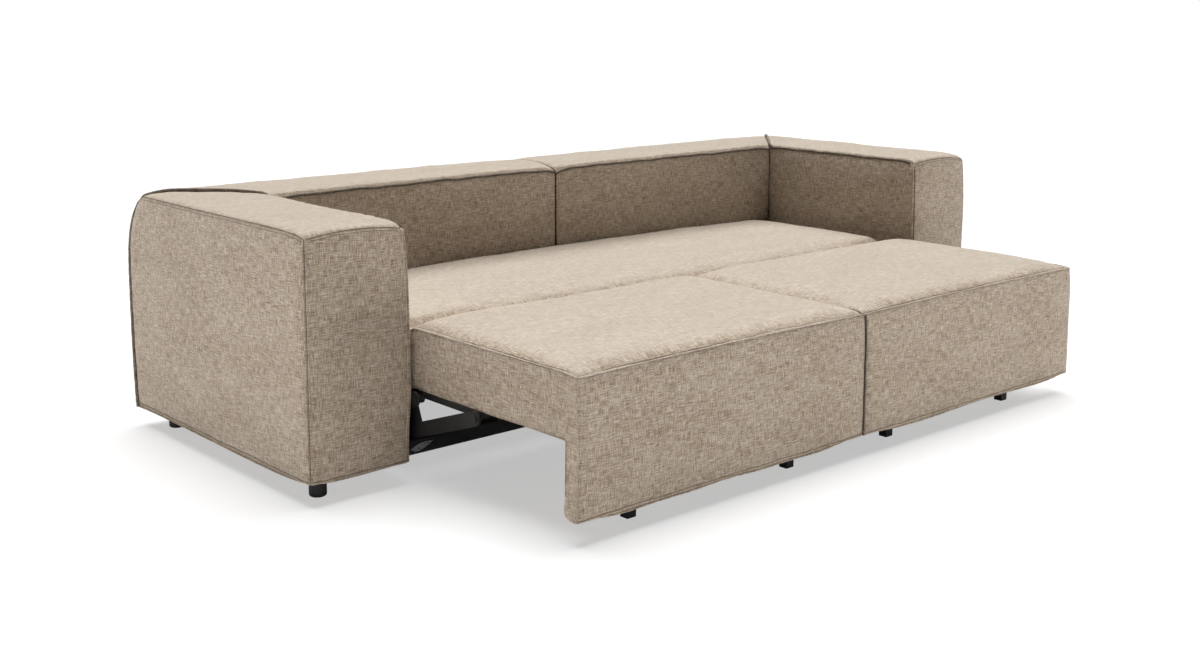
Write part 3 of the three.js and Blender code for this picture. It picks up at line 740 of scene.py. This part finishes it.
    def settled(self, grid):
        """How far a cloth under pressure, held at its seams, moves each grid place."""
        places, faces, _ = self.shell(SIM_STEP, SIM_CLOSE)
        points = self.swollen(places, START_FULLNESS)
        near = self.nearness(places, ON_FACE) > 0
        pins = [near[:, f] & near[:, g] for f, g in self.seams] + [near[:, face] for face in self.held]
        trial = add_object("settling", make_mesh("settling", points, faces), fabric)
        group = trial.vertex_groups.new(name="held")
        group.add(np.nonzero(np.any(pins, axis=0))[0].tolist(), 1.0, "REPLACE")
        cloth = trial.modifiers.new("cloth", "CLOTH")
        for key, value in CLOTH_SETTINGS.items():
            setattr(cloth.settings, key, value)
        cloth.settings.effector_weights.gravity = 0
        cloth.collision_settings.use_collision = False
        for step in range(1, SIM_FRAMES + 1):
            scene.frame_set(step)
        shown = trial.evaluated_get(bpy.context.evaluated_depsgraph_get())
        after = np.empty(len(points) * 3)
        shown.data.vertices.foreach_get("co", after)
        moved = after.reshape(-1, 3) - points
        bpy.data.objects.remove(trial)
        scene.frame_set(1)
        triangles = np.concatenate([faces[:, [0, 1, 2]], faces[:, [0, 2, 3]]])
        tree = BVHTree.FromPolygons(places.tolist(), triangles.tolist(), all_triangles=True)
        result = np.zeros_like(grid)
        for n, place in enumerate(grid):
            at, _, which, _ = tree.find_nearest(Vector(place))
            corners = triangles[which]
            result[n] = barycentric(np.array(at), places[corners]) @ moved[corners]
        return result

    def limits(self, grid, near):
        """How far the cloth may stand out from its starting shape, by the face that it is on."""
        limit = np.full(len(grid), LEAST_ROOM)
        for face in range(6):
            room = self.swells.get(face, 0) * (1 - START_FULLNESS) + self.spare.get(face, SPARE_ROOM)
            if face == IN:
                room = np.maximum(room * self.bow_fade(grid), LEAST_BOW_ROOM)
            limit = np.where(near[:, face] & (limit < room), room, limit)
        return limit

    def build(self):
        """Makes the padded piece, and keeps its grid and points for the beads on it."""
        grid, faces, sides = self.shell(GRID_STEP, LINE_STEPS)
        points = self.swollen(grid, START_FULLNESS if simulated else 1.0)
        near = self.nearness(grid, ON_FACE) > 0
        if simulated:
            moved = smoothed(self.settled(grid), faces, near.sum(1) > 1, SMOOTH_ROUNDS, SMOOTH_SHARE)
            limit, size = self.limits(grid, near), np.linalg.norm(moved, axis=1)
            points = points + moved * (limit * np.tanh(size / limit) / np.maximum(size, TINY))[:, None]
        points = self.with_rolls(points, grid)
        ripple = waves(points, WAVE_LENGTHS, self.seed) * WAVE_DEPTH
        free = ~np.any([near[:, face] for face in self.held], axis=0)
        points = points + vertex_normals(points, faces) * (ripple * free)[:, None]
        hang = (waves(points[:, :2], HANG_LENGTHS, self.seed + 2) + 1) * HANG_DEPTH
        gap = 1 - self.nearness(grid, 1.0)
        corner_gap = np.minimum(gap[:, OUT], gap[:, IN]) + gap[:, NEAR]
        rise = np.exp(-corner_gap / CORNER_RISE_REACH) * CORNER_RISE
        points[:, 2] -= np.where(near[:, DOWN], hang - rise, 0)
        self.grid, self.near, self.points = grid, near, self.in_row(points)
        if self.mirror != self.turned:
            faces = faces[:, ::-1]
        cloth = np.zeros((len(faces), 4, 2))
        for face in range(6):
            rows = sides == face
            cloth[rows] = self.unrolled(points, face)[faces[rows]]
            if self.turned and face in (UP, DOWN):
                cloth[rows] = cloth[rows][:, :, ::-1]
        cloth += (sides * FACE_SHIFT + self.seed * PAD_SHIFT)[:, None, None]
        mesh = make_mesh(self.name, self.points, faces, cloth, values=self.seam_values(grid))
        return add_object(self.name, mesh, fabric)

    def unrolled(self, points, face):
        """Places on one face, measured along the cloth from its middle."""
        axes = [axis for axis in range(3) if axis != face // 2]
        flat = points[:, axes].copy()
        on = np.nonzero(self.near[:, face])[0]
        (m_lines, m), (n_lines, n) = [np.unique(self.grid[on, axis], return_inverse=True) for axis in axes]
        table = np.full((len(m_lines), len(n_lines), 3), np.nan)
        table[m, n] = points[on]
        for k in range(2):
            steps = np.nan_to_num(np.linalg.norm(np.diff(table, axis=k), axis=2))
            run = np.concatenate([np.zeros_like(steps.take([0], k)), np.cumsum(steps, k)], k)
            run -= run.take([run.shape[k] // 2], k)
            flat[on, k] = run[m, n]
        return flat

    def seam_values(self, grid):
        """How near each point is to a seam, for painted shade, and to a gathered seam, for puckers."""
        gap = (1 - self.nearness(grid, SHADE_REACH)) * SHADE_REACH
        shade, gathers = np.zeros(len(grid)), np.zeros(len(grid))
        for seam in self.seams:
            strength = self.shades.get(seam, SEAM_SHADE)
            for face, other in (seam, seam[::-1]):
                on, share = self.near[:, face], TOP_SHADE_SHARE if face == UP else 1
                beside = np.exp(-gap[:, other] / SHADE_WIDTH) * strength * share
                shade = np.where(on, np.maximum(shade, beside), shade)
                if UP in seam and face != UP:
                    pulled = np.exp(-gap[:, other] / GATHER_WIDTH)
                    gathers = np.where(on, np.maximum(gathers, pulled), gathers)
        return {SEAM_SHADE_VALUE: shade, PUCKER_VALUE: gathers}

    def in_row(self, points):
        """The block's own places, turned and mirrored into the row's frame."""
        out = points[:, [1, 0, 2]] if self.turned else points.copy()
        if self.mirror:
            out[:, 0] *= -1
        return out

    def normal(self, face):
        direction = np.zeros((1, 3))
        direction[0, face // 2] = outward(face)
        return self.in_row(direction)[0]

    def row(self, f, g, inward):
        """The points of face g at one distance from face f, in order."""
        on_row = np.abs(self.gaps(self.grid)[:, f] - inward) < ON_ROW
        rows = np.nonzero(self.near[:, g] & on_row)[0]
        return self.points[rows[np.argsort(self.grid[rows, 3 - f // 2 - g // 2])]]

    def stray(self, line, f, g, wander):
        """How far a hand-sewn line wanders to one side and the other."""
        seed = self.seed * WANDER_SEED + f * FACE_SEED + g
        return (waves(run_along(line)[:, None], WANDER_LENGTHS, seed) * wander)[:, None]

    def edge(self, f, g, out_f=0.0, out_g=0.0):
        """The line of an edge, moved out of each of its faces."""
        rows = np.nonzero(self.near[:, f] & self.near[:, g])[0]
        line = self.points[rows[np.argsort(self.grid[rows, 3 - f // 2 - g // 2])]]
        return line + self.normal(f) * out_f + self.normal(g) * out_g

    def beside(self, f, g, inward, rise=0.0, wander=0.0):
        """A line that lies on face g at a distance from its edge with face f."""
        steps = (0.0,) + LINE_STEPS
        place = max(n for n, step in enumerate(steps) if step <= inward)
        share = (inward - steps[place]) / (steps[place + 1] - steps[place])
        line = self.row(f, g, steps[place]) * (1 - share) + self.row(f, g, steps[place + 1]) * share
        return line + self.normal(f) * self.stray(line, f, g, wander) + self.normal(g) * rise


# Beads on the seams

BEAD_SIDES = 8
BEAD_WRAP = 0.6
BEAD_UNEVENNESS = 0.07
BEAD_LENGTHS = (0.013, 0.021, 0.037)
FIRST_SIDE = (0.31, 0.17, 0.93)
HEM_INSET = 0.011
HEM_WANDER = 0.0008
HEM_RADIUS = 0.0013
LIP_OUT = (0.0006, 0.0002)
LIP_RADIUS = 0.0024
STITCH_INSET = 0.0006
STITCH_RADIUS = 0.0014
FAINT_INSET = 0.0095
FAINT_RADIUS = 0.0008
WELT_RADIUS = 0.0042
WELT_OUT = WELT_RADIUS * 0.1
WELT_LINES = ((0.0052, 0.0004), (0.0068, 0.0003))
WELT_LINE_RADIUS = 0.0015
FINE_RISE = 0.0002
LINE_RISE = 0.0004


def tube(line, radius, seed):
    """A round bead along a line of points, as points, faces and cloth places."""
    steps = np.gradient(line, axis=0)
    steps /= np.maximum(np.linalg.norm(steps, axis=1), TINY)[:, None]
    run = run_along(line)
    sizes = radius * (1 + BEAD_UNEVENNESS * waves(run[:, None], BEAD_LENGTHS, seed))
    turns = np.linspace(0, 2 * math.pi, BEAD_SIDES, endpoint=False)[:, None]
    side = np.cross(steps[0], FIRST_SIDE)
    rings = []
    for place, step, size in zip(line, steps, sizes):
        side = side - step * (side @ step)
        side /= np.linalg.norm(side)
        rings.append(place + size * (np.cos(turns) * side + np.sin(turns) * np.cross(step, side)))
    points = np.concatenate([*rings, line[[0, -1]]])
    first, last, end = len(points) - 2, len(points) - 1, (len(line) - 1) * BEAD_SIDES
    faces, cloth = [], []
    for n in range(len(line) - 1):
        a, b = n * BEAD_SIDES, (n + 1) * BEAD_SIDES
        for j in range(BEAD_SIDES):
            k = (j + 1) % BEAD_SIDES
            faces.append((a + j, a + k, b + k, b + j))
            cloth += [(run[n + up], (j + over) * radius * BEAD_WRAP) for up, over in
                      ((0, 0), (0, 1), (1, 1), (1, 0))]
    for j in range(BEAD_SIDES):
        k = (j + 1) % BEAD_SIDES
        faces += [(first, k, j), (last, end + j, end + k)]
        cloth += [(0, 0)] * 6
    return points, faces, cloth


def add_piping(name, rows, material, body, seed):
    """Beads of one fabric: each row is a line of points and its radius."""
    points, faces, cloth, base = [], [], [], 0
    for number, (line, radius) in enumerate(rows):
        places, around, on_cloth = tube(line, radius, seed + number)
        points.append(places)
        faces += [[base + corner for corner in face] for face in around]
        cloth += on_cloth
        base += len(places)
    piece = add_object(name, make_mesh(name, np.concatenate(points), faces, cloth), material)
    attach(piece, body)


def beside_beads(pad, rows):
    """Beads on a face beside its edge: the two faces, distance, rise, radius and wandering."""
    return [(pad.beside(f, g, inward, rise, *wander), radius) for f, g, inward, rise, radius, *wander in rows]


def edge_beads(pad, rows):
    """Beads on an edge: its two faces, how far out of each, and the radius."""
    return [(pad.edge(f, g, out_f, out_g), radius) for f, g, out_f, out_g, radius in rows]


def hem(pad, faces):
    """The fine line of stitches above a bottom edge."""
    return beside_beads(pad, [(DOWN, face, HEM_INSET, LINE_RISE, HEM_RADIUS, HEM_WANDER) for face in faces])


def lip(pad, faces):
    """The turned edge at the bottom of a face."""
    return edge_beads(pad, [(DOWN, face, *LIP_OUT, LIP_RADIUS) for face in faces])


def topstitch(pad, faces):
    """The stitches on the top beside each face, and the faint line below them on the face."""
    above = [(face, UP, STITCH_INSET, FINE_RISE, STITCH_RADIUS) for face in faces]
    below = [(UP, face, FAINT_INSET, 0.0, FAINT_RADIUS) for face in faces]
    return beside_beads(pad, above + below)


def welt(pad, f, g):
    """A raised strip on an edge, and the fine dark lines on both sides of it."""
    lines = [(*faces, *row, WELT_LINE_RADIUS) for faces, row in zip(((f, g), (g, f)), WELT_LINES)]
    return edge_beads(pad, [(f, g, WELT_OUT, WELT_OUT, WELT_RADIUS)]), beside_beads(pad, lines)


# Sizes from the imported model

arm_low, arm_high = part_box("arm_cover_right")
back_low, back_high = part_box("back_cover_right")
panel_low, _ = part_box("rear_panel_right")
seat_low, seat_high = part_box("seat_cover_right")
front_low, front_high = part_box("front_panel_right")
bench_low, bench_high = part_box("bench_cover")
sofa_half = 0.5 * (cad_box[1][0] - cad_box[0][0])
sofa_rear = round(cad_box[1][1], 4)
arm_inner, back_front = arm_low[0], back_low[1]

SEAM_GAP = 0.0003
ARM_RISE = 0.002
HEM_DEPTH = 0.2
CORNER_DRAW = 0.010
arm_top = arm_high[2] + ARM_RISE


def dress(pad, body, replaced):
    piece = pad.build()
    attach(piece, body)
    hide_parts(*replaced)


# Armrests

ARM_SWELLS = {IN: 0.012, OUT: 0.010, NEAR: 0.007, UP: 0.008}
ARM_DRAWS = {IN: 0.002, OUT: 0.013, NEAR: 0.0075, UP: 0.015}
ARM_SEAMS = [(NEAR, UP), (NEAR, OUT), (NEAR, IN), (OUT, UP), (IN, UP), (FAR, UP), (FAR, OUT), (FAR, IN),
             (NEAR, DOWN), (OUT, DOWN), (IN, DOWN)]
ARM_SHADES = {(IN, UP): 0.8, (FAR, IN): 0.9, (FAR, UP): 0.1, (FAR, OUT): 0.2, (OUT, UP): 0.5, (NEAR, UP): 0.5}
ARM_DEPTHS = {(NEAR, DOWN): HEM_DEPTH, (OUT, DOWN): HEM_DEPTH, (IN, DOWN): HEM_DEPTH, (FAR, UP): 0.2,
              (FAR, OUT): 0.2, (OUT, UP): 0.35, (NEAR, UP): 0.35, (NEAR, OUT): 0.3, (NEAR, IN): 0.4}
ARM_ROUND = 0.012
ARM_SPARE = {IN: 0.001}
ARM_BOW = 0.85
ARM_PIPING = ((OUT, NEAR, 0.0042, LINE_RISE, 0.0019), (NEAR, OUT, 0.0042, LINE_RISE, 0.0019),
              (IN, NEAR, 0.0100, FINE_RISE, 0.0024))
ARM_FRONT_BEAD = (NEAR, IN, 0.0008, 0.0008, 0.0026)
ARM_CORNER_LINE = (NEAR, OUT, 0.0, 0.0, 0.0011)
ARM_FRONT_LINE = (IN, NEAR, 0.0062, FINE_RISE, 0.0013)
ARM_TOP_GROOVE = (UP, IN, 0.0050, 0.0010, 0.0036, 0.0013)
GROOVE_START = 4  # points that the top groove leaves out at the front corner
ARM_MITRE_GROOVE = (FAR, IN, -0.0035, 0.0, 0.0043)
CORD_RISE = 0.0080
CORD_OUT = 0.0034
CORD_RADIUS = 0.0055


def add_armrest(side, mirror, seed):
    arm = Pad(
        f"arm_{side}", (arm_inner - ARM_SWELLS[IN], arm_low[1], arm_low[2]), (sofa_half, sofa_rear, arm_top),
        ARM_SWELLS, ARM_DRAWS, ARM_SEAMS, seed,
        ends=lambda a: (arm_low[1], back_front + (a - arm_inner) - SEAM_GAP), joined=(False, True),
        rounds=[(IN, UP, ARM_ROUND)], held=(DOWN, FAR), mirror=mirror, spare=ARM_SPARE,
        shades=ARM_SHADES, depths=ARM_DEPTHS, corner=CORNER_DRAW, bow=ARM_BOW,
    )
    dress(arm, "base", [f"arm_cover_{side}"])
    down = arm.edge(FAR, OUT, CORD_OUT, CORD_OUT)[-2::-1]
    cord = np.concatenate([arm.edge(FAR, UP, 0.0, CORD_RISE), down])
    pale = beside_beads(arm, ARM_PIPING) + edge_beads(arm, [ARM_FRONT_BEAD]) + lip(arm, (NEAR, OUT))
    dark = topstitch(arm, (NEAR, OUT)) + edge_beads(arm, [ARM_CORNER_LINE])
    dark += beside_beads(arm, [ARM_FRONT_LINE]) + [(cord, CORD_RADIUS)] + hem(arm, (NEAR, OUT, IN))
    # Painted shadow: very dark beads laid along the top groove and the mitre, where shade falls.
    groove_shade = [(line[GROOVE_START:], radius) for line, radius in beside_beads(arm, [ARM_TOP_GROOVE])]
    groove_shade += edge_beads(arm, [ARM_MITRE_GROOVE])
    # Painted light and shade: the pale beads are a lit copy of the weave, the dark ones a shaded copy.
    add_piping(f"arm_{side}_piping", pale, lit_piping_fabric, "base", seed)
    add_piping(f"arm_{side}_shaded_piping", dark, shaded_piping, "base", seed + 1)
    add_piping(f"arm_{side}_groove_shadows", groove_shade, seam_shadow, "base", seed + 2)


# Backs

BACK_SWELLS = {OUT: 0.010, UP: 0.008}
BACK_DRAWS = {OUT: 0.013, UP: 0.015}
BACK_SEAMS = [(IN, UP), (OUT, UP), (NEAR, UP), (NEAR, IN), (NEAR, OUT), (FAR, UP), (FAR, OUT), (FAR, IN),
              (OUT, DOWN)]
BACK_SHADES = {(IN, UP): 0.8, (FAR, IN): 0.9, (NEAR, IN): 0.9, (NEAR, UP): 0.7, (FAR, UP): 0.1}
BACK_DEPTHS = {(OUT, DOWN): HEM_DEPTH, (FAR, UP): 0.2, (FAR, OUT): 0.2, (OUT, UP): 0.35}
BACK_PIPING = ((NEAR, UP, 0.0046, 0.0008, 0.0036), (NEAR, IN, 0.0046, 0.0006, 0.0032),
               (NEAR, OUT, 0.0046, 0.0006, 0.0032), (FAR, IN, 0.0070, LINE_RISE, 0.0026))
BACK_JOINT_LINES = ((NEAR, UP, 0.0004, 0.0006, 0.0026), (NEAR, OUT, 0.0, 0.0, 0.0026))
BACK_TOP_GROOVE = (UP, IN, 0.0050, 0.0012, 0.0040, 0.0016)
BACK_JOINT_GROOVE = (NEAR, IN, 0.0, 0.0, 0.0034)


def add_back(side, mirror, seed):
    back = Pad(
        f"back_{side}", (back_front, SEAM_GAP, panel_low[2]), (sofa_rear, back_high[0], arm_top),
        BACK_SWELLS, BACK_DRAWS, BACK_SEAMS, seed + 3,
        ends=lambda a: (SEAM_GAP, arm_inner + (a - back_front) - SEAM_GAP), joined=(True, True),
        notch=(0, -math.inf, panel_low[1], back_low[2]), stops=((panel_low[1],), (), (back_low[2],)),
        held=(DOWN, FAR, NEAR), mirror=mirror, turned=True, shades=BACK_SHADES, depths=BACK_DEPTHS,
        corner=CORNER_DRAW,
    )
    dress(back, "base", [f"back_cover_{side}", f"rear_panel_{side}"])
    pale = beside_beads(back, BACK_PIPING) + lip(back, (OUT,))
    dark = edge_beads(back, BACK_JOINT_LINES) + topstitch(back, (OUT,)) + hem(back, (OUT,))
    # Painted shadow: very dark beads laid along the top groove and the joint, where shade falls.
    groove_shade = beside_beads(back, [BACK_TOP_GROOVE]) + edge_beads(back, [BACK_JOINT_GROOVE])
    # Painted light and shade: the pale beads are a lit copy of the weave, the dark ones a shaded copy.
    add_piping(f"back_{side}_piping", pale, lit_piping_fabric, "base", seed)
    add_piping(f"back_{side}_shaded_piping", dark, shaded_piping, "base", seed + 1)
    add_piping(f"back_{side}_groove_shadows", groove_shade, seam_shadow, "base", seed + 2)


# Seat modules

SEAT_SWELLS = {IN: 0.0008, OUT: 0.006, NEAR: 0.006, FAR: 0.0035, UP: 0.020}
SEAT_DRAWS = {IN: 0.0025, OUT: 0.005, NEAR: 0.005, FAR: 0.005, UP: 0.006}
SEAT_SEAMS = [(NEAR, UP), (OUT, UP), (IN, UP), (NEAR, OUT), (NEAR, IN)]
SEAT_SHADES = {(NEAR, OUT): 0.25, (NEAR, IN): 0.9, (IN, UP): 0.1}
SEAT_DEPTHS = {(IN, UP): 0.5, (NEAR, IN): 0.5, (NEAR, OUT): 0.6}
SEAT_MIDDLE_GAP = 0.0012
SEAT_OUT = 0.004
SEAT_BACK = 0.010
SEAT_RISE = 0.014
SEAT_ROLL = 0.055
SEAT_ROLL_SHARE = 0.15
SEAT_CROWN = 5
SEAT_ROUNDS = {"rear_bottom": 0.014, "panel_foot": 0.03, "front_foot": 0.010, "rear_top": 0.026}
SEAT_MIDDLE_BEAD = (IN, UP, 0.0, 0.0, 0.0022)


def add_seat_module(side, mirror, seed):
    rear, top = seat_high[1] + SEAT_BACK, seat_high[2] + SEAT_RISE
    seat = Pad(
        f"seat_{side}", (SEAT_MIDDLE_GAP, seat_low[1], front_low[2]), (seat_high[0] + SEAT_OUT, rear, top),
        SEAT_SWELLS, SEAT_DRAWS, SEAT_SEAMS, seed + 5,
        notch=(1, front_high[1], math.inf, seat_low[2]), stops=((), (front_high[1],), (seat_low[2],)),
        rounds=[(FAR, DOWN, SEAT_ROUNDS["rear_bottom"], rear, seat_low[2]),
                (FAR, DOWN, SEAT_ROUNDS["panel_foot"], front_high[1], front_low[2]),
                (NEAR, DOWN, SEAT_ROUNDS["front_foot"]),
                (FAR, UP, SEAT_ROUNDS["rear_top"])],
        held=(DOWN,), mirror=mirror, joined=(False, True), roll=SEAT_ROLL, roll_share=SEAT_ROLL_SHARE,
        crown=SEAT_CROWN, shades=SEAT_SHADES, depths=SEAT_DEPTHS,
    )
    dress(seat, "front_seat", [f"seat_cover_{side}", f"front_panel_{side}"])
    front_welt, front_lines = welt(seat, NEAR, UP)
    side_welt, side_lines = welt(seat, OUT, UP)
    pale = edge_beads(seat, [SEAT_MIDDLE_BEAD]) + front_welt + side_welt + lip(seat, (NEAR,))
    dark = front_lines + side_lines + hem(seat, (NEAR,))
    # Painted light and shade: the welts are a lit copy of the weave, the lines a shaded copy.
    add_piping(f"seat_{side}_piping", pale, lit_piping_fabric, "front_seat", seed)
    add_piping(f"seat_{side}_lines", dark, shaded_line_piping, "front_seat", seed + 1)


# Bench

BENCH_SWELLS = {IN: 0.008, OUT: 0.008, UP: 0.011}
BENCH_DRAWS = {IN: 0.005, OUT: 0.005, UP: 0.007}
BENCH_ROUNDS = [(NEAR, UP, 0.062), (FAR, UP, 0.012), (OUT, UP, 0.05), (IN, UP, 0.05)]
BENCH_BACK = 0.003
BENCH_RISE = 0.009
BENCH_SEED = 41


def add_bench():
    bench = Pad(
        "bench", bench_low, (bench_high[0], bench_high[1] + BENCH_BACK, bench_high[2] + BENCH_RISE),
        BENCH_SWELLS, BENCH_DRAWS, [], BENCH_SEED, joined=(False, True), rounds=BENCH_ROUNDS,
        held=(DOWN, FAR),
    )
    dress(bench, "bench", ["bench_cover"])


for side, mirror, seed in (("right", False, 11), ("left", True, 23)):
    add_armrest(side, mirror, seed)
    add_back(side, mirror, seed)
    add_seat_module(side, mirror, seed)
add_bench()

# Floor and world

FLOOR_HALF = 40.0
FLOOR_COLOUR = (0.9, 0.9, 0.9, 1)
WHITE = (1, 1, 1, 1)
SHADOW_LIFT = 0.5
WORLD_LIGHT = 0.02

floor_finish = Finish("floor")
ground = floor_finish.node("BsdfDiffuse", {}, {"Color": FLOOR_COLOUR})
glow = floor_finish.node("Emission", {}, {"Color": WHITE, "Strength": 1.0})
lift = floor_finish.node("LightPath", {}, output="Is Camera Ray") * SHADOW_LIFT
floor_surface = floor_finish.node("MixShader", {}, [lift, ground, glow])
floor_finish.node("OutputMaterial", {}, {"Surface": floor_surface})
corners = np.array([(-1, -1, 0), (1, -1, 0), (1, 1, 0), (-1, 1, 0)]) * FLOOR_HALF
floor = add_object("floor", make_mesh("floor", corners, [(0, 1, 2, 3)], smooth=False), floor_finish.holder)

studio = Finish("studio", bpy.data.worlds.new("studio"))
seen = [studio.node("LightPath", {}, output=ray) for ray in ("Is Camera Ray", "Is Glossy Ray")]
shown = studio.node("Math", {"operation": "MAXIMUM"}, seen)
dim, white = (studio.node("Background", {}, {"Color": WHITE, "Strength": strength})
              for strength in (WORLD_LIGHT, 1.0))
studio.node("OutputWorld", {}, {"Surface": studio.node("MixShader", {}, [shown, dim, white])})
scene.world = studio.holder

# Lamps

SUN_STRENGTH = 4.75
SUN_ANGLE = 58
SUN_TILT = -14
SUN_HEADING = -40
STRIP_REACH = 3.1
STRIP_HEIGHT = 0.16
STRIP_SIZE = (5.0, 0.26)
STRIPS = {"front_strip": (338, 15.5), "left_strip": (90, 12.0), "rear_strip": (180, 10.0),
          "right_strip": (270, 10.0)}


def add_overhead_sun():
    lamp = bpy.data.lights.new("overhead", "SUN")
    lamp.energy = SUN_STRENGTH
    lamp.angle = math.radians(SUN_ANGLE)
    holder = bpy.data.objects.new("overhead", lamp)
    holder.rotation_euler = (math.radians(SUN_TILT), 0, math.radians(SUN_HEADING))
    scene.collection.objects.link(holder)


def add_strip(name, heading, watts):
    """A low, wide strip lamp that faces the middle of the object from one side."""
    lamp = bpy.data.lights.new(name, "AREA")
    lamp.shape = "RECTANGLE"
    lamp.size, lamp.size_y = STRIP_SIZE
    lamp.energy = watts
    holder = bpy.data.objects.new(name, lamp)
    turn = math.radians(heading)
    holder.location = (-STRIP_REACH * math.sin(turn), -STRIP_REACH * math.cos(turn), STRIP_HEIGHT)
    holder.rotation_euler = (math.radians(90), 0, -turn)
    holder.visible_camera = False
    holder.visible_glossy = False
    scene.collection.objects.link(holder)


add_overhead_sun()
for name, (heading, watts) in STRIPS.items():
    add_strip(name, heading, watts)

scene.view_settings.view_transform = "Standard"
